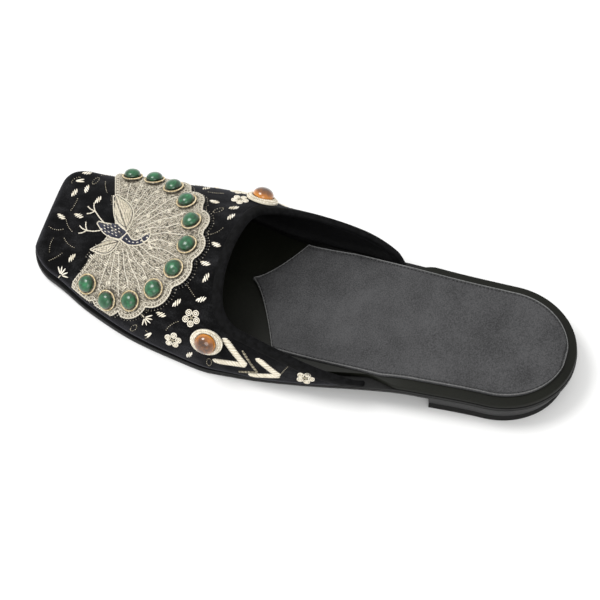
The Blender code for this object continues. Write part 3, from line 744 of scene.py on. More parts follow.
def newTree(name, **numbers):
    # a tree from geometry to geometry, with a material and the named numbers as inputs
    tree = bpy.data.node_groups.new(name, "GeometryNodeTree")
    tree.interface.new_socket(name="Geometry", in_out="OUTPUT", socket_type="NodeSocketGeometry")
    tree.interface.new_socket(name="Geometry", in_out="INPUT", socket_type="NodeSocketGeometry")
    for label, value in numbers.items():
        kind = "NodeSocketInt" if isinstance(value, int) else "NodeSocketFloat"
        tree.interface.new_socket(name=label, in_out="INPUT", socket_type=kind).default_value = value
    tree.interface.new_socket(name="Material", in_out="INPUT", socket_type="NodeSocketMaterial")
    return tree, addNode(tree, "NodeGroupInput").outputs


pointVectors = ("out", "run", "size")


def placedCopies(tree, source, shape):
    # copies of a shape on guide points, turned and sized by the points' own attributes
    out, run, size = [
        addNode(tree, "GeometryNodeInputNamedAttribute", values={"Name": name}, data_type="FLOAT_VECTOR").outputs[0]
        for name in pointVectors]
    turn = addNode(
        tree, "FunctionNodeAxesToRotation", {"Primary Axis": out, "Secondary Axis": run},
        primary_axis="Z", secondary_axis="X")
    copies = addNode(
        tree, "GeometryNodeInstanceOnPoints",
        {"Points": source, "Instance": shape, "Rotation": turn.outputs[0], "Scale": size})
    real = addNode(tree, "GeometryNodeRealizeInstances", {"Geometry": copies.outputs[0]})
    return addNode(tree, "GeometryNodeSetShadeSmooth", {"Geometry": real.outputs[0]}).outputs[0]


def endTree(tree, geometry, material):
    painted = addNode(tree, "GeometryNodeSetMaterial", {"Geometry": geometry, "Material": material})
    addNode(tree, "NodeGroupOutput", {"Geometry": painted.outputs[0]})
    return tree


def stitchTree():
    tree, given = newTree("layStitches", Roundness=1)
    stitch = addNode(
        tree, "GeometryNodeMeshIcoSphere", {"Subdivisions": given["Roundness"]}, {"Radius": 0.5})
    laid = placedCopies(tree, given["Geometry"], stitch.outputs["Mesh"])
    return endTree(tree, laid, given["Material"])


def cabochonTree():
    tree, given = newTree("setCabochons", Sides=36, Squareness=0.8)
    ball = addNode(
        tree, "GeometryNodeMeshUVSphere", {"Segments": given["Sides"]}, {"Rings": 22, "Radius": 1.0})
    place = addNode(tree, "GeometryNodeInputPosition")
    parts = addNode(tree, "ShaderNodeSeparateXYZ", {"Vector": place.outputs[0]})
    above = addNode(tree, "ShaderNodeMath", {0: parts.outputs["Z"]}, {1: 0.0}, operation="MAXIMUM")
    fuller = addNode(tree, "ShaderNodeMath", {0: above.outputs[0], 1: given["Squareness"]}, operation="POWER")
    moved = addNode(
        tree, "ShaderNodeCombineXYZ", {"X": parts.outputs["X"], "Y": parts.outputs["Y"], "Z": fuller.outputs[0]})
    dome = addNode(tree, "GeometryNodeSetPosition", {"Geometry": ball.outputs["Mesh"], "Position": moved.outputs[0]})
    # the dome's height is kept as crown, which the stone materials turn into painted highlight and painted shade
    kept = addNode(
        tree, "GeometryNodeStoreNamedAttribute", {"Geometry": dome.outputs[0], "Value": fuller.outputs[0]},
        {"Name": "crown"}, data_type="FLOAT", domain="POINT")
    laid = placedCopies(tree, given["Geometry"], kept.outputs[0])
    return endTree(tree, laid, given["Material"])


def cordTree():
    # a flattened section turned as it runs, which reads as a two-ply cord
    tree, given = newTree("layCords", Radius=0.0004, Spacing=0.0003, Turn=0.7, Flatness=0.6)
    line = addNode(tree, "GeometryNodeMeshToCurve", {"Mesh": given["Geometry"]})
    even = addNode(
        tree, "GeometryNodeResampleCurve", {"Curve": line.outputs[0], "Length": given["Spacing"]}, mode="LENGTH")
    number = addNode(tree, "GeometryNodeInputIndex")
    turned = addNode(tree, "ShaderNodeMath", {0: number.outputs[0], 1: given["Turn"]}, operation="MULTIPLY")
    tilted = addNode(tree, "GeometryNodeSetCurveTilt", {"Curve": even.outputs[0], "Tilt": turned.outputs[0]})
    ring = addNode(tree, "GeometryNodeCurvePrimitiveCircle", {"Radius": given["Radius"]}, {"Resolution": 7})
    flatter = addNode(tree, "ShaderNodeCombineXYZ", {"Y": given["Flatness"]}, {"X": 1.0, "Z": 1.0})
    oval = addNode(tree, "GeometryNodeTransform", {"Geometry": ring.outputs[0], "Scale": flatter.outputs[0]})
    tube = addNode(
        tree, "GeometryNodeCurveToMesh", {"Curve": tilted.outputs[0], "Profile Curve": oval.outputs[0]},
        {"Fill Caps": True})
    soft = addNode(tree, "GeometryNodeSetShadeSmooth", {"Geometry": tube.outputs[0]})
    return endTree(tree, soft.outputs[0], given["Material"])


trees = {"stitch": stitchTree(), "cabochon": cabochonTree(), "cord": cordTree()}


def growPiece(name, guide, tree, values, stoodFor=()):
    # runs a tree on a guide mesh and keeps the plain mesh that comes out
    thing = bpy.data.objects.new(name, guide)
    bpy.context.scene.collection.objects.link(thing)
    modifier = thing.modifiers.new(tree.name, "NODES")
    modifier.node_group = tree
    for item in tree.interface.items_tree:
        if item.in_out == "INPUT" and item.name in values:
            modifier[item.identifier] = values[item.name]
    graph = bpy.context.evaluated_depsgraph_get()
    mesh = bpy.data.meshes.new_from_object(thing.evaluated_get(graph))
    thing.modifiers.remove(modifier)
    thing.data = mesh
    for attribute in pointVectors:
        if attribute in mesh.attributes:
            mesh.attributes.remove(mesh.attributes[attribute])
    settle(thing, stoodFor)
    print(name, len(mesh.polygons), "faces")
    return thing


def guidePoints(name, points, out, run, size, tone):
    mesh = bpy.data.meshes.new(name)
    mesh.from_pydata([tuple(p) for p in points], [], [])
    for label, data in zip((*pointVectors, "tone"), (out, run, size, tone)):
        setValues(mesh, label, data)
    return mesh


def layStitches(name, guide, material, roundness=1):
    values = {"Roundness": roundness, "Material": finish[material]}
    growPiece(name, guidePoints(name, *guide), trees["stitch"], values)


def sew(name, stitches, lift, material, roundness=1):
    # stitches: rows of w1, along1, w2, along2, width, height, tone, on the velvet's own surface
    rows = np.array(stitches, float)
    start = skin(rows[:, 0], rows[:, 1], lift)
    end = skin(rows[:, 2], rows[:, 3], lift)
    here, out = skinFrame((rows[:, 0] + rows[:, 2]) / 2, (rows[:, 1] + rows[:, 3]) / 2, lift)
    run = end - start
    long = np.linalg.norm(run, axis=1)
    run /= np.maximum(long, 1e-9)[:, None]
    size = np.stack([long * 1.08, rows[:, 4] * mm, rows[:, 5] * mm], 1)
    layStitches(name, (here, out, run, size, rows[:, 6]), material, roundness)


def layCords(
        name, lines, lift, material, radius, spacing=0.35, turn=0.7, flatness=0.6, closed=False, tone=0.6):
    points, edges, start = [], [], 0
    for index, line in enumerate(lines):
        line = np.asarray(line, float)
        points.append(skin(line[:, 0], line[:, 1], lift[index] if isinstance(lift, list) else lift))
        count = len(line)
        edges += [(start + i, start + i + 1) for i in range(count - 1)]
        if closed:
            edges.append((start + count - 1, start))
        start += count
    mesh = bpy.data.meshes.new(name)
    mesh.from_pydata([tuple(p) for p in np.concatenate(points)], edges, [])
    thing = growPiece(name, mesh, trees["cord"], {
        "Radius": radius * mm, "Spacing": spacing * mm, "Turn": turn, "Flatness": flatness,
        "Material": finish[material]})
    setValues(thing.data, "tone", np.full(len(thing.data.vertices), tone))


# Fan: stones on an oval, a scallop round each, and metal thread between them

fanMake = {
    "middle": 45.0, "lean": 0.14, "foot": 34.0, "widthShare": 0.371, "depth": 29.5, "span": radians(225),
    "margin": 0.7, "apex": 37.0, "stones": 11, "stoneRadius": 3.75, "stoneHeight": 2.9, "seatRadius": 4.6,
    "bezelHeight": 0.8, "scallop": 7.7, "endScallop": 1.6, "rowPitch": 0.74, "stitchPitch": 0.86, "seed": 7,
    "ringRadius": 4.4, "ringLift": 1.05, "ringWraps": 40, "weaveHeart": 14.0, "baseStep": 1.6,
    # pairs of bars: tries, and how far they keep from stones, edge, one another and the bird
    "barTries": 1200, "barToStone": 7.0, "barToEdge": 3.0, "barToBar": 6.4, "barToBird": 2.6,
}
amberMake = {
    "radius": 4.75, "height": 4.2, "seatRadii": (7.3, 6.1), "seatHeight": 1.3, "baseHeight": 1.4,
    # radii, lift, number of wraps and thread width of each ring
    "wraps": [((7.0, 5.8), 1.2, 52, 0.75), ((6.1, 5.2), 1.75, 44, 0.75), ((5.35, 5.15), 2.1, 40, 0.6)],
    "lateralAt": 94.5, "medialAt": 97.5, "lateralDrop": 0.51, "medialDrop": 0.75,
}


def fanAxis(along):
    return middle(along) + fanMake["lean"] * (along - fanMake["foot"])


def stoneAngles():
    first = pi / 2 + fanMake["span"] / 2
    return [first - fanMake["span"] * i / (fanMake["stones"] - 1) for i in range(fanMake["stones"])]


def stonePlan(angle):
    along = fanMake["middle"] + fanMake["depth"] * sin(angle)
    return fanAxis(along) + fanMake["widthShare"] * last["ballWidth"] * cos(angle), along


def scallopRing(radius, steps=18):
    # (w, along) of the fan's outline, arcs that lie on the skin and stop above the widest line
    angles = stoneAngles()
    meanDiameter = fanMake["widthShare"] * last["ballWidth"] + fanMake["depth"]
    chord = meanDiameter * sin(fanMake["span"] / (fanMake["stones"] - 1) / 2)
    openAngle = asin(min(chord / 2 / fanMake["scallop"], 1.0))
    ring = []
    for index, angle in enumerate(angles):
        side, along = stonePlan(angle)
        start = fanMake["endScallop"] * openAngle if index == 0 else openAngle
        stop = fanMake["endScallop"] * openAngle if index == len(angles) - 1 else openAngle
        turn = angle + start - (start + stop) * np.linspace(0, 1, steps + 1)
        place = along + radius * np.sin(turn)
        limit = arcOf(middle(place) + upperReach(place, 0) - fanMake["margin"], place)
        w = np.clip(arcOf(side, place) + radius * np.cos(turn), -limit, limit)
        ring.append(np.stack([w, place], 1))
    apex = fanMake["apex"]
    ring.append(np.array([[float(arcOf(fanAxis(apex), apex)), apex]]))
    return np.concatenate(ring)


def inside(points, polygon):
    x, y = points[:, 0], points[:, 1]
    found = np.zeros(len(points), bool)
    for (ax, ay), (bx, by) in zip(polygon, np.roll(polygon, -1, 0)):
        crosses = (ay > y) != (by > y)
        if by != ay:
            found ^= crosses & (x < ax + (y - ay) * (bx - ax) / (by - ay))
    return found


def shrunk(shape, share):
    return shape.mean(0) + (shape - shape.mean(0)) * share


def makeFanBase(outline):
    # a plate that follows the velvet, filled with a fine net of triangles
    ticks = [np.arange(low, high, fanMake["baseStep"]) for low, high in zip(outline.min(0), outline.max(0))]
    grid = np.stack(np.meshgrid(*ticks), -1).reshape(-1, 2)
    grid = grid[inside(grid, shrunk(outline, 0.975))]
    corners = [Vector(p) for p in np.concatenate([outline, grid])]
    count = len(outline)
    made = delaunay_2d_cdt(corners, [], [list(range(count))], 1, 1e-5)
    flat = np.array([(p.x, p.y) for p in made[0]])
    top = skin(flat[:, 0], flat[:, 1], fanLift)
    under = skin(flat[:, 0], flat[:, 1], last["gap"])
    total = len(flat)
    faces, used = [], set()
    for face in made[2]:
        area = sum(flat[a][0] * flat[b][1] - flat[b][0] * flat[a][1] for a, b in zip(face, face[1:] + face[:1]))
        face = face if area > 0 else face[::-1]
        faces.append(tuple(face))
        faces.append(tuple(total + i for i in reversed(face)))
        used.update(zip(face, face[1:] + face[:1]))
    faces += [(b, a, total + a, total + b) for a, b in sorted(used) if (b, a) not in used]
    addPiece("fanGround", np.concatenate([top, under]), faces, finish["fanCloth"], ["fan_patch"])


def satinFill(polygon, angle, pitch, width, height, tone, rng, longest=4.0, edge=0.0):
    # parallel stitches from edge to edge of a closed shape
    polygon = np.asarray(polygon, float)
    turn = np.array([[cos(angle), sin(angle)], [-sin(angle), cos(angle)]])
    flat = polygon @ turn.T
    stitches = []
    for y in np.arange(flat[:, 1].min() + pitch / 2, flat[:, 1].max(), pitch):
        cuts = []
        for a, b in zip(flat, np.roll(flat, -1, 0)):
            if (a[1] > y) != (b[1] > y):
                cuts.append(a[0] + (y - a[1]) * (b[0] - a[0]) / (b[1] - a[1]))
        cuts.sort()
        for first, second in zip(cuts[::2], cuts[1::2]):
            first, second = first + edge, second - edge
            if second - first < 0.35:
                continue
            pieces = max(1, int(np.ceil((second - first) / longest)))
            marks = np.linspace(first, second, pieces + 1)
            marks[1:-1] += rng.uniform(-0.25, 0.25, pieces - 1) * (second - first) / pieces
            for left, right in zip(marks, marks[1:]):
                a = np.array([left, y]) @ turn
                b = np.array([right, y]) @ turn
                stitches.append((*a, *b, width, height, tone + rng.uniform(-0.14, 0.14)))
    return stitches


def leafShape(base, tip, width, bow=0.0, count=22):
    # a leaf between two points, widest a third of the way from its base
    base, tip = np.array(base, float), np.array(tip, float)
    run = tip - base
    across = np.array([-run[1], run[0]]) / np.linalg.norm(run)
    share = np.linspace(0, 1, count)
    full = np.sin(pi * share ** 0.8) * width / 2
    bend = np.sin(pi * share)[:, None] * across * bow
    line = base + run * share[:, None] + bend
    return np.concatenate([line + across * full[:, None], (line - across * full[:, None])[::-1][1:-1]])


def ribbonShape(path, widths):
    path = np.asarray(path, float)
    run = np.gradient(path, axis=0)
    run /= np.linalg.norm(run, axis=1, keepdims=True)
    across = np.stack([-run[:, 1], run[:, 0]], 1) * (np.asarray(widths) / 2)[:, None]
    return np.concatenate([path + across, (path - across)[::-1]])


def curve(points, count=30):
    # smooth line through a few points
    points = np.asarray(points, float)
    knots = np.linspace(0, 1, len(points))
    at = np.linspace(0, 1, count)
    dense = resample(np.stack([np.interp(np.linspace(0, 1, 120), knots, points[:, i]) for i in range(2)], 1), 120)
    return resample(relax(dense, 160), count)


# Peacock at the fan's foot, of our own drawing: body, neck, head, crest, two lowered wings and plain legs
birdMake = {
    "heart": (3.2, 38.5), "lean": 0.12,
    "body": [(-1.5, -11.0), (-0.4, -6.5), (0.2, -1.0), (1.4, 4.6)], "bodyWidth": [1.2, 5.4, 7.6, 4.4],
    "neck": [(1.4, 4.4), (3.6, 8.4), (2.9, 12.4), (0.0, 15.2), (-2.2, 16.0)], "neckWidth": [4.6, 3.4, 2.7, 3.2, 2.4],
    "head": [(1.6, 14.6), (-3.6, 16.6), 3.9, 0.4],
    "beak": [(-3.2, 16.4), (-4.8, 16.0), (-6.0, 14.8)], "eye": (-0.7, 16.0),
    "crest": [(0.6, 17.0), (-0.7, 20.6), (1.5, 21.2), (3.6, 20.2)],
    "medialWing": [(-1.6, 5.0), (-18.0, -9.2), 9.0, -1.4], "lateralWing": [(4.4, 3.6), (12.6, -9.4), 6.8, 1.2],
    "legs": [[(-2.4, -7.6), (-6.4, -14.6)], [(1.8, -8.2), (4.6, -14.6)]],
}


def birdPoint(point):
    x, y = point
    return (birdMake["heart"][0] + x + birdMake["lean"] * y, birdMake["heart"][1] + y)


def birdShapes():
    shapes = {}
    for name in ("body", "neck"):
        line = curve([birdPoint(p) for p in birdMake[name]], 30)
        widths = birdMake[name + "Width"]
        wide = np.interp(np.linspace(0, 1, 30), np.linspace(0, 1, len(widths)), widths)
        shapes[name] = ribbonShape(line, wide)
        shapes[name + "Line"] = line
    for name in ("medialWing", "lateralWing", "head"):
        base, tip, width, bow = birdMake[name]
        shapes[name] = leafShape(birdPoint(base), birdPoint(tip), width, bow)
        shapes[name + "Line"] = np.array([birdPoint(base), birdPoint(tip)])
    return shapes


birdParts = ("body", "neck", "head", "medialWing", "lateralWing")


def lineRuns(line):
    run = np.gradient(line, axis=0)
    run /= np.linalg.norm(run, axis=1, keepdims=True)
    return run, np.stack([-run[:, 1], run[:, 0]], 1)


def makeFanThread(rng):
    # short stitches in a herringbone, row after row out from the fan's foot
    centre = np.array([birdMake["heart"][0], fanMake["weaveHeart"]])
    places, leans, tones = [], [], []
    for row, radius in enumerate(np.arange(10.0, 76.0, fanMake["rowPitch"])):
        count = int(2 * pi * radius / fanMake["stitchPitch"])
        turn = 2 * pi * (np.arange(count) + rng.uniform(-0.15, 0.15, count)) / count
        far = radius + rng.uniform(-0.08, 0.08, count)
        places.append(centre + np.stack([np.cos(turn), np.sin(turn)], 1) * far[:, None])
        lean = np.where((np.arange(count) + row) % 2, 0.8, -0.8) + rng.uniform(-0.2, 0.2, count)
        leans.append(turn + pi / 2 + lean)
        tones.append(np.where(rng.uniform(0, 1, count) < 0.12, 0.12, rng.uniform(0.42, 0.85, count)))
    places, leans, tones = np.concatenate(places), np.concatenate(leans), np.concatenate(tones)
    keep = inside(places, shrunk(fanOutline, 0.985))
    for seat in seats:
        keep &= np.hypot(*(places - seat).T) > 4.9
    for name in birdParts:
        keep &= ~inside(places, bird[name])
    half = 0.56 * np.stack([np.cos(leans), np.sin(leans)], 1)
    start, end = (places - half)[keep], (places + half)[keep]
    thick = np.tile([0.44, 0.5], (len(start), 1))
    rows = np.concatenate([start, end, thick, tones[keep, None]], 1)
    sew("fanThread", rows, fanLift + 0.05, "silver")


def makeFanBars(rng):
    # pairs of cream bars laid over the ground, clear of the stones and the bird
    bars, taken = [], []
    low, high = fanOutline.min(0), fanOutline.max(0)
    for _ in range(fanMake["barTries"]):
        place = rng.uniform(low, high)
        clear = np.hypot(*(seats - place).T).min() > fanMake["barToStone"] and inside(place[None], fanOutline)[0]
        clear = clear and np.hypot(*(fanOutline - place).T).min() > fanMake["barToEdge"]
        clear = clear and all(np.hypot(*(other - place)) > fanMake["barToBar"] for other in taken)
        clear = clear and all(np.hypot(*(bird[name] - place).T).min() > fanMake["barToBird"] for name in birdParts)
        clear = clear and not any(inside(place[None], bird[name])[0] for name in birdParts)
        if not clear:
            continue
        taken.append(place)
        turn = atan2(place[1] - fanMake["weaveHeart"], place[0] - birdMake["heart"][0]) + rng.choice([0.25, -0.35, 1.4])
        run, across = np.array([cos(turn), sin(turn)]), np.array([-sin(turn), cos(turn)])
        for offset in (-0.42, 0.42):
            mid = place + across * offset
            bars.append((*(mid - run * 1.25), *(mid + run * 1.25), 0.62, 0.6, 0.75))
    sew("fanBars", bars, fanLift + 0.4, "cream")


def makeFan():
    rng = np.random.default_rng(fanMake["seed"])
    makeFanBase(fanOutline)
    makeFanThread(rng)
    foot = np.array(birdPoint((0.6, 2.0)))
    rays = []
    for first, second in zip(seats, seats[1:]):
        for share in (0.0, 0.5):
            target = first + (second - first) * share
            target = target + (foot - target) / np.hypot(*(foot - target)) * (6.0 if share == 0 else 1.5)
            swing = 0.5 * np.sin(np.linspace(0, 9, 26) + target[0])
            line = foot + (target - foot) * np.linspace(0.3, 1.0, 26)[:, None]
            rays.append(line + np.stack([swing, swing * 0], 1))
    layCords("fanRays", rays, fanLift + 0.28, "silver", 0.2, 0.4, 0.9, 0.7, tone=0.95)
    makeFanBars(rng)
    # two cords follow the scallops with slanted stitches between them, and beads hang outside
    layCords(
        "fanEdgeOuter", [fanOutline], fanLift - 0.1, "silver", 0.5, 0.32, 0.75, 0.62, True, 0.75)
    dense = resample(np.concatenate([fanOutline, fanOutline[:1]]), 600)
    run, outward = lineRuns(dense)
    if inside((dense[40] + outward[40])[None], fanOutline)[0]:
        outward = -outward
    inner = dense[:-1] - outward[:-1] * 1.75
    kept = [p for p in inner if np.hypot(*(fanOutline - p).T).min() > 1.55]
    layCords(
        "fanEdgeInner", [np.array(kept)], fanLift + 0.3, "silver", 0.26, 0.34, 0.8, 0.7, True, 0.7)
    teeth, fringe, specks = [], [], []
    for i in range(0, 599):
        if i % 2 == 0:
            a, b = dense[i] - outward[i] * 1.5, dense[i] - outward[i] * 0.35 + run[i] * 0.5
            teeth.append((*a, *b, 0.36, 0.5, 0.9 if i % 4 else 0.3))
        if dense[i][1] > 30 and i % 3 == 0 and np.hypot(*(dense[i] - fanOutline[-1])) > 12:
            far = 1.6 + 0.5 * rng.uniform()
            root, end = dense[i] + outward[i] * 0.3, dense[i] + outward[i] * far
            fringe.append((*root, *end, 0.6, 0.9, rng.uniform(0.2, 1.0)))
            tip = dense[i] + outward[i] * (far + 0.2)
            specks.append((*(tip - run[i] * 0.2), *(tip + run[i] * 0.2), 0.4, 0.45, rng.uniform(0.1, 0.8)))
    sew("fanTeeth", teeth, fanLift + 0.15, "silver")
    sew("fanFringe", fringe, 0.25, "black")
    sew("fanSpecks", specks, 0.3, "silver")


fanLift = last["gap"] + last["patch"]
fanOutline = scallopRing(fanMake["scallop"])
bird = birdShapes()
seats = np.array([(float(arcOf(side, along)), along) for side, along in map(stonePlan, stoneAngles())])
makeFan()
print("fan made")


# Cabochons, each with a twisted wire ring

def seatFrames(places, lift):
    here, out = skinFrame(places[:, 0], places[:, 1], lift)
    run = skin(places[:, 0], places[:, 1] + 0.3, lift) - here
    run /= np.linalg.norm(run, axis=1, keepdims=True)
    return here, out, run


def setCabochons(name, places, lift, radii, height, squareness, material, stoodFor, raised):
    here, out, run = seatFrames(places, lift)
    size = np.tile(np.array([radii[0], radii[1], height]) * mm, (len(places), 1))
    guide = guidePoints(name, here + out * raised * mm, out, run, size, np.full(len(places), 0.6))
    growPiece(name, guide, trees["cabochon"], {"Squareness": squareness, "Material": material}, stoodFor)


def wireRing(places, lift, radii, raised, count, thickness, tone, rng):
    # slanted wraps round an oval, on the seat's own plane
    here, out, run = seatFrames(places, lift)
    side = np.cross(out, run)
    points, outs, runs, sizes, tones = [], [], [], [], []
    for p, o, r, s in zip(here, out, run, side):
        for i in range(count):
            turn = 2 * pi * i / count
            rim = r * radii[0] * cos(turn) + s * radii[1] * sin(turn)
            tangent = -r * radii[0] * sin(turn) + s * radii[1] * cos(turn)
            tangent /= np.linalg.norm(tangent)
            radial = np.cross(tangent, o)
            lean = tangent * 0.8 + radial * 0.6
            points.append(p + (rim + o * raised) * mm)
            outs.append(o)
            runs.append(lean)
            sizes.append((1.25 * mm, thickness * mm, thickness * 1.15 * mm))
            tones.append(tone + rng.uniform(-0.2, 0.2))
    return points, outs, runs, sizes, tones


def makeStones():
    rng = np.random.default_rng(3)
    numbers = [f"{i:02d}" for i in range(1, fanMake["stones"] + 1)]
    seatRadii, stoneRadii, ringRadii = ((fanMake[n],) * 2 for n in ("seatRadius", "stoneRadius", "ringRadius"))
    setCabochons(
        "stoneSeats", seats, fanLift, seatRadii, fanMake["bezelHeight"], 0.25, finish["fanCloth"],
        ["bezel_" + n for n in numbers], last["gap"])
    setCabochons(
        "greenStones", seats, fanLift, stoneRadii, fanMake["stoneHeight"], 0.85, finish["green"],
        ["stone_" + n for n in numbers], 2 * last["gap"] + fanMake["bezelHeight"])
    ring = wireRing(seats, fanLift, ringRadii, fanMake["ringLift"], fanMake["ringWraps"], 0.5, 0.6, rng)
    layStitches("wireRings", ring, "gilt")


def amberPlaces():
    places = []
    for at, drop, sign in (
        (amberMake["lateralAt"], amberMake["lateralDrop"], 1), (amberMake["medialAt"], amberMake["medialDrop"], -1)):
        up = drop * ridgeHeight(at, 0)
        places.append((sign * float(arcAt(shareAtHeight(up, at), at)), at))
    return np.array(places)


ambers = amberPlaces()


def makeAmbers():
    rng = np.random.default_rng(5)
    gap = last["gap"]
    setCabochons(
        "amberSeats", ambers, 0, amberMake["seatRadii"], amberMake["seatHeight"], 0.3, finish["cream"],
        ["amber_base_lateral", "amber_base_medial"], gap)
    setCabochons(
        "amberStones", ambers, 0, (amberMake["radius"],) * 2, amberMake["height"], 0.8, finish["amber"],
        ["amber_lateral", "amber_medial"], 2 * gap + amberMake["baseHeight"])
    rings = [[], [], [], [], []]
    for radii, raised, count, thickness in amberMake["wraps"]:
        for kept, more in zip(rings, wireRing(ambers, 0, radii, raised, count, thickness, 0.7, rng)):
            kept.extend(more)
    layStitches("amberWraps", rings, "cream")


makeStones()
makeAmbers()
print("cabochons set")


def groundLift(w, along):
    # how high the embroidery's ground lies: on the fan's plate, or on the bare velvet
    points = np.stack([np.atleast_1d(w), np.atleast_1d(along)], 1)
    gap = np.hypot(points[:, None, 0] - fanOutline[None, :, 0], points[:, None, 1] - fanOutline[None, :, 1]).min(1)
    signed = np.where(inside(points, fanOutline), gap, -gap)
    return fanLift * smooth(-1.2, 0.6, signed)


def sewOver(name, stitches, lift, material, roundness=1):
    rows = np.array(stitches, float)
    ground = np.maximum(groundLift(rows[:, 0], rows[:, 1]), groundLift(rows[:, 2], rows[:, 3]))
    sew(name, rows, ground + lift, material, roundness)


def cordOver(name, lines, lift, material, radius, closed=False, tone=0.7):
    lifts = [groundLift(line[:, 0], line[:, 1]) + lift for line in lines]
    layCords(name, lines, lifts, material, radius, 0.35, 0.8, 0.68, closed, tone)


def makeBird():
    rng = np.random.default_rng(11)
    navy = []
    for part, angle, pitch, height in (("body", 0.35, 0.4, 0.9), ("neck", -0.3, 0.4, 0.8), ("head", 0.4, 0.38, 1.0)):
        navy += satinFill(bird[part], angle, pitch, 0.5, height, 0.5, rng, 6.0)
    sewOver("birdBody", navy, 0.35, "navy")
    cream, dark = [], []
    for name in ("medialWing", "lateralWing"):
        base, tip = bird[name + "Line"]
        aim = atan2(tip[1] - base[1], tip[0] - base[0])
        shape = bird[name]
        half = len(shape) // 2 + 1
        rib = base + (tip - base) * np.linspace(0, 1, half)[:, None]
        upper = np.concatenate([shape[:half], rib[::-1]])
        lower = np.concatenate([rib, shape[half:]])
        cream += satinFill(upper, aim - 0.9, 0.46, 0.52, 0.75, 0.62, rng, 1.6, 0.35)
        cream += satinFill(lower, aim + 0.9, 0.46, 0.52, 0.75, 0.55, rng, 1.6, 0.35)
        dark.append(shrunk(shape, 0.87))
    for line, offsets, first in ((bird["bodyLine"], (-1.9, -0.65, 0.65, 1.9), 7), (bird["neckLine"], (0.0,), 5)):
        run, across = lineRuns(line)
        for row, offset in enumerate(offsets):
            for i in range(first + (row % 2) * 2, 25, 4):
                mid = line[i] + across[i] * offset * (0.6 + 0.4 * sin(pi * i / 30))
                cream.append((*(mid - run[i] * 0.62), *(mid + run[i] * 0.62), 0.42, 1.1, 0.9))
    eye = np.array(birdPoint(birdMake["eye"]))
    cream.append((eye[0] - 0.45, eye[1], eye[0] + 0.45, eye[1], 0.8, 1.5, 1.0))
    sewOver("birdSatin", cream, 0.5, "cream")
    cordOver("birdOutline", [bird[name] for name in birdParts], 0.55, "cream", 0.3, True)
    cordOver("wingLines", dark, 0.85, "navy", 0.17, True, 0.1)
    strokes = [curve([birdPoint(p) for p in birdMake["beak"]], 10)]
    root = np.array(birdPoint(birdMake["crest"][0]))
    for end in birdMake["crest"][1:]:
        end = np.array(birdPoint(end))
        strokes.append(curve([root, (root + end) / 2 + [0.4, 0], end], 12))
    for start, foot in birdMake["legs"]:
        start, foot = np.array(birdPoint(start)), np.array(birdPoint(foot))
        strokes.append(curve([start, (start + foot) / 2 + [0.4, 0.2], foot], 14))
        for turn in (-0.95, -0.1, 0.8):
            claw = np.array([sin(turn), -cos(turn)])
            strokes.append(curve([foot, foot + claw * 2.6, foot + claw * 4.4 + [0.8 * claw[1], -0.5 * claw[0]]], 10))
    cordOver("birdStrokes", strokes, 0.4, "cream", 0.33)


makeBird()
print("bird made")


# Sprigs, leaves, dotted stems and loop flowers scattered on the velvet, and chevrons down the wings

scatterMake = {
    "seed": 23, "spacing": 5.6, "tries": 9000, "firstAlong": 8.5, "lastAlong": 158.0,
    "collarBand": 7.2, "footBand": 4.2, "fanBand": 4.6, "throatAt": 95,
    # how far a sprig keeps from the middle of each of these
    "chevronArm": 3.7, "chevronHeart": 5.0, "amberRoom": 10.5, "flowerRoom": 7.6, "birdTip": 6.6, "birdTail": 5.5,
}
flowerPlaces = [(37.3, 85.7), (49.8, 78.6), (-28.6, 88.4), (-39.5, 85.0), (57.0, 139.5), (-57.0, 137.5)]


def spot(centre, turn, points):
    rotate = np.array([[cos(turn), sin(turn)], [-sin(turn), cos(turn)]])
    return np.asarray(points, float) @ rotate + centre


def stroke(centre, turn, a, b, width, tone, height=0.7):
    ends = spot(centre, turn, [a, b])
    return (*ends[0], *ends[1], width, height, tone)


def slantedLeaf(centre, turn, rng):
    # four slanted satin bars side by side make a leaf
    return [stroke(centre, turn, (x - 0.75, -high), (x + 0.75, high), 0.72, rng.uniform(0.55, 1.0))
            for x, high in ((-1.75, 0.6), (-0.75, 1.15), (0.35, 1.3), (1.4, 0.85))]


def dottedLeaf(centre, turn, rng):
    angles = 2 * pi * np.arange(12) / 12
    return [stroke(centre, turn, (2.6 * cos(a) - 0.2, 1.1 * sin(a)), (2.6 * cos(a) + 0.2, 1.1 * sin(a)), 0.38,
                   rng.uniform(0.0, 0.45), 0.4) for a in angles]


def dottedStem(centre, turn, rng):
    bend = rng.uniform(-0.8, 0.8)
    dots = [(x, bend * x * x / 8) for x in np.arange(-3.6, 3.7, 1.0)]
    return [stroke(centre, turn, (x - 0.2, y), (x + 0.2, y), 0.36, rng.uniform(0.1, 0.5), 0.4) for x, y in dots]


def fanSprig(centre, turn, rng):
    made = [stroke(centre, turn, (0.6 * cos(a) - 1.6, 0.6 * sin(a)), (4.0 * cos(a) - 1.6, 4.0 * sin(a)), 0.62,
                   rng.uniform(0.6, 1.0)) for a in (-1.1, -0.55, 0.0, 0.5, 1.0)]
    return made + [stroke(centre, turn, (-4.2, 0.3), (-1.6, 0.0), 0.5, 0.6)]


def twinBud(centre, turn, rng):
    made = [stroke(centre, turn, (-1.8, 0.4 * a), (2.4 * cos(a), 2.4 * sin(a)), 0.85, rng.uniform(0.65, 1.0))
            for a in (-0.45, 0.2)]
    return made + dottedLeaf(centre + np.array([0.4, -1.8]), turn + 0.6, rng)[:7]


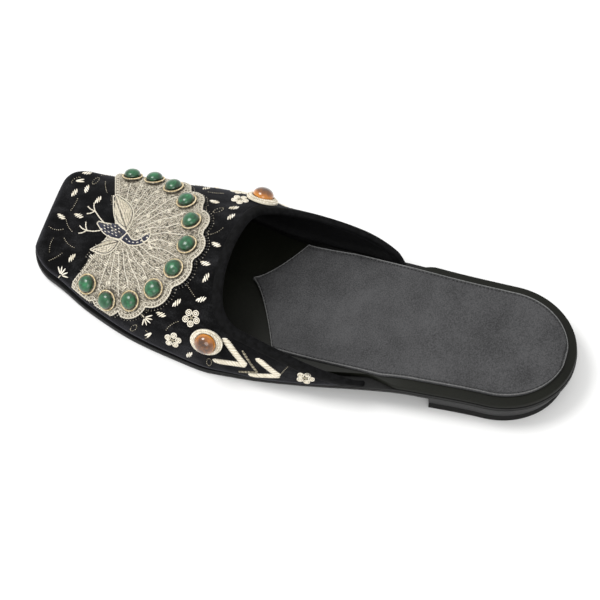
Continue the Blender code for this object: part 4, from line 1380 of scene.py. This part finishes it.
def loopFlower(centre, turn, rng):
    # five petals of coiled cord round a gold centre
    made = []
    for petal in range(5):
        aim = turn + 2 * pi * petal / 5
        heart = centre + 2.7 * np.array([cos(aim), sin(aim)])
        for radius, count in ((1.25, 10), (0.5, 5)):
            for i in range(count):
                angle = aim + 2 * pi * i / count
                mid = heart + radius * np.array([cos(angle), sin(angle)])
                run = np.array([-sin(angle), cos(angle)]) * radius * pi / count * 1.2
                made.append((*(mid - run), *(mid + run), 0.55, 0.8, rng.uniform(0.6, 0.95)))
        made.append((*centre, *(centre + 1.7 * np.array([cos(aim), sin(aim)])), 0.4, 0.7, 0.28))
    return made


def chevron(tip, first, second, width, rng, tone=0.85):
    # two arms that meet at the tip, each filled with slanted satin stitches
    made = []
    tip = np.array(tip, float)
    for end, sign in ((np.array(first, float), 1), (np.array(second, float), -1)):
        size = np.hypot(*(tip - end))
        run = (tip - end) / size
        across = np.array([-run[1], run[0]]) * sign
        for index, s in enumerate(np.arange(0.3, size, 0.78)):
            wide = width * min(1.0, 0.55 + 0.3 * s, 0.35 + 0.45 * (size - s))
            mid = end + run * s
            a, b = mid - across * wide / 2 - run * 0.32 * wide, mid + across * wide / 2 + run * 0.32 * wide
            made.append((*a, *b, 0.66, 0.9, tone - 0.28 * (index % 2) + rng.uniform(-0.12, 0.1)))
    return made


def insideCollar(place):
    ends = np.array([[collar[-1][0], length], [collar[0][0], length]])
    return inside(place[None], np.concatenate([collar, ends]))[0]


def makeScatter():
    rng = np.random.default_rng(scatterMake["seed"])
    motifs = [slantedLeaf, slantedLeaf, slantedLeaf, dottedLeaf, dottedStem, dottedStem, fanSprig, twinBud]
    stitches, taken = [], []
    for sign, place in zip((1, -1), ambers):
        for tip, first, second, width, tone in wingMake:
            stitches += chevron(*[np.array([sign * x, y]) for x, y in (tip, first, second)], width, rng, tone)
            for share in (0.15, 0.6, 1.0):
                for end in (first, second):
                    x, y = (e + (t - e) * share for e, t in zip(end, tip))
                    taken.append((sign * x, y, scatterMake["chevronArm"]))
            x, y = ((a + b + 2 * t) / 4 for a, b, t in zip(first, second, tip))
            taken.append((sign * x, y, scatterMake["chevronHeart"]))
        taken.append((*place, scatterMake["amberRoom"]))
    for place in flowerPlaces:
        stitches += loopFlower(np.array(place), rng.uniform(0, 6.28), rng)
        taken.append((*place, scatterMake["flowerRoom"]))
    tips = [foot for _, foot in birdMake["legs"]] + [birdMake[n][1] for n in ("medialWing", "lateralWing")]
    taken += [(*birdPoint(tip), scatterMake["birdTip"]) for tip in tips]
    taken.append((*birdPoint(birdMake["body"][0]), scatterMake["birdTail"]))
    collarFine = resample(collar, 200)
    fanFine = resample(np.concatenate([fanOutline, fanOutline[:1]]), 240)
    count = 0
    for _ in range(scatterMake["tries"]):
        along = rng.uniform(4.0, scatterMake["lastAlong"])
        reach = float(arcAt(1.0, along))
        place = np.array([rng.uniform(-reach, reach), along])
        if abs(place[0]) > reach - scatterMake["footBand"] - last["tuckHeight"] or along < scatterMake["firstAlong"]:
            continue
        if any(np.hypot(place[0] - x, place[1] - y) < radius for x, y, radius in taken):
            continue
        if inside(place[None], fanOutline)[0] or np.hypot(*(fanFine - place).T).min() < scatterMake["fanBand"]:
            continue
        toCollar = np.hypot(*(collarFine - place).T).min()
        if toCollar < scatterMake["collarBand"] or (along > scatterMake["throatAt"] and insideCollar(place)):
            continue
        turn = rng.uniform(-0.5, 0.5) + rng.choice([0.9, 2.2, -0.3])
        stitches += motifs[int(rng.integers(len(motifs)))](place, turn, rng)
        taken.append((*place, scatterMake["spacing"] + rng.uniform(-0.4, 1.0)))
        count += 1
    print("sprigs", count)
    sew("sprigs", stitches, 0.15, "cream", 2)


# tip, two arm ends, width and tone of each chevron, as distance over the skin and along
wingMake = [
    ((55.0, 112.5), (43.0, 102.0), (56.8, 98.2), 3.2, 0.85),
    ((58.2, 118.2), (47.0, 110.6), (60.6, 109.6), 1.1, 0.2),
    ((58.0, 128.0), (49.4, 117.6), (61.4, 114.4), 3.0, 0.85),
]
makeScatter()
print("scatter made")


# Pad stitches

def padLine(inset):
    # closed line round the pad, inset from its edge
    tip, back = padMake["tip"] + inset * 1.5, length - padMake["backGap"] - inset
    along = tip + (back - tip) * (1 - np.cos(pi * np.linspace(0, 1, 260))) / 2
    medial, lateral = padReach(along, inset)
    half = np.stack([middle(along) + lateral, along], 1)
    other = np.stack([middle(along) - medial, along], 1)[::-1]
    return np.concatenate([half, other])


def padPoint(spots, lift):
    return world(spots[:, 0], spots[:, 1], insoleTop(spots[:, 1]) + last["gap"] + last["pad"] + lift)


def makePadTrim():
    line = padLine(padMake["stitchInset"])
    gone = np.concatenate([[0], np.hypot(*np.diff(line, axis=0).T).cumsum()])
    marks = np.arange(0.5, gone[-1] - padMake["stitchPitch"], padMake["stitchPitch"])
    first = np.stack([np.interp(marks, gone, line[:, i]) for i in (0, 1)], 1)
    second = np.stack([np.interp(marks + padMake["stitchLength"], gone, line[:, i]) for i in (0, 1)], 1)
    start, end = padPoint(first, -0.05), padPoint(second, -0.05)
    run = end - start
    long = np.linalg.norm(run, axis=1)
    run /= long[:, None]
    rise = insoleTop(first[:, 1] + 0.5) - insoleTop(first[:, 1] - 0.5)
    out = np.stack([rise * 0, -rise, rise * 0 + 1], 1)
    out /= np.linalg.norm(out, axis=1, keepdims=True)
    size = np.stack([long * 1.05, long * 0 + 0.6 * mm, long * 0 + 0.5 * mm], 1)
    layStitches("padStitches", ((start + end) / 2, out, run, size, long * 0 + 0.1), "black")
    # a thin cord round the pad's edge, coloured lighter than the pad as a painted highlight on its bevel
    rim = padPoint(padLine(0.42), -0.12)
    mesh = bpy.data.meshes.new("padRimPaintedHighlight")
    mesh.from_pydata([tuple(p) for p in rim], [(i, (i + 1) % len(rim)) for i in range(len(rim))], [])
    growPiece("padRimPaintedHighlight", mesh, trees["cord"], {
        "Radius": 0.26 * mm, "Spacing": 0.6 * mm, "Turn": 0.0, "Flatness": 1.0,
        "Material": finish["padRimPaintedHighlight"]})


makePadTrim()
print("pad trim made")


# Stage, light and camera

stageMake = {"azimuth": 106.6, "elevation": 57.0, "scale": 2.25, "lens": 135.0, "target": (0.0, 0.0, 0.012)}


def makeStage():
    half = 3.0
    mesh = bpy.data.meshes.new("floor")
    mesh.from_pydata([(-half, -half, 0), (half, -half, 0), (half, half, 0), (-half, half, 0)], [], [(0, 1, 2, 3)])
    floor = bpy.data.objects.new("floor", mesh)
    bpy.context.scene.collection.objects.link(floor)
    material, _, shader = newMaterial("pale floor", Roughness=0.9, Specular_IOR_Level=0.1)
    shader.inputs["Base Color"].default_value = hexColour("f0f0ef")
    mesh.materials.append(material)
    sky = bpy.data.worlds.new("studio")
    bpy.context.scene.world = sky
    sky.use_nodes = True
    sky.node_tree.nodes["Background"].inputs["Color"].default_value = (1, 1, 1, 1)
    sky.node_tree.nodes["Background"].inputs["Strength"].default_value = 0.95
    for name, place, size, power in (
        ("keyLight", (0.1, -0.7, 1.3), 0.7, 12.0), ("fillLight", (1.1, 0.3, 0.9), 0.9, 5.0)):
        data = bpy.data.lights.new(name, "AREA")
        data.shape = "DISK"
        data.size = size
        data.energy = power
        lamp = bpy.data.objects.new(name, data)
        lamp.location = place
        lamp.rotation_euler = (-Vector(place)).to_track_quat("-Z", "Y").to_euler()
        bpy.context.scene.collection.objects.link(lamp)


def makeCamera():
    a, e = radians(stageMake["azimuth"]), radians(stageMake["elevation"])
    back = Vector((sin(a) * cos(e), -cos(a) * cos(e), sin(e)))
    data = bpy.data.cameras.new("camera")
    data.lens = stageMake["lens"]
    data.sensor_width = 36.0
    distance = stageMake["lens"] / 36.0 * 600 / stageMake["scale"] * mm
    camera = bpy.data.objects.new("camera", data)
    camera.location = Vector(stageMake["target"]) + back * distance
    camera.rotation_euler = (-back).to_track_quat("-Z", "Y").to_euler()
    data.clip_start, data.clip_end = 0.05, 20
    bpy.context.scene.collection.objects.link(camera)
    bpy.context.scene.camera = camera


makeStage()
makeCamera()
bpy.context.scene.view_settings.view_transform = "Standard"

print("stage made")
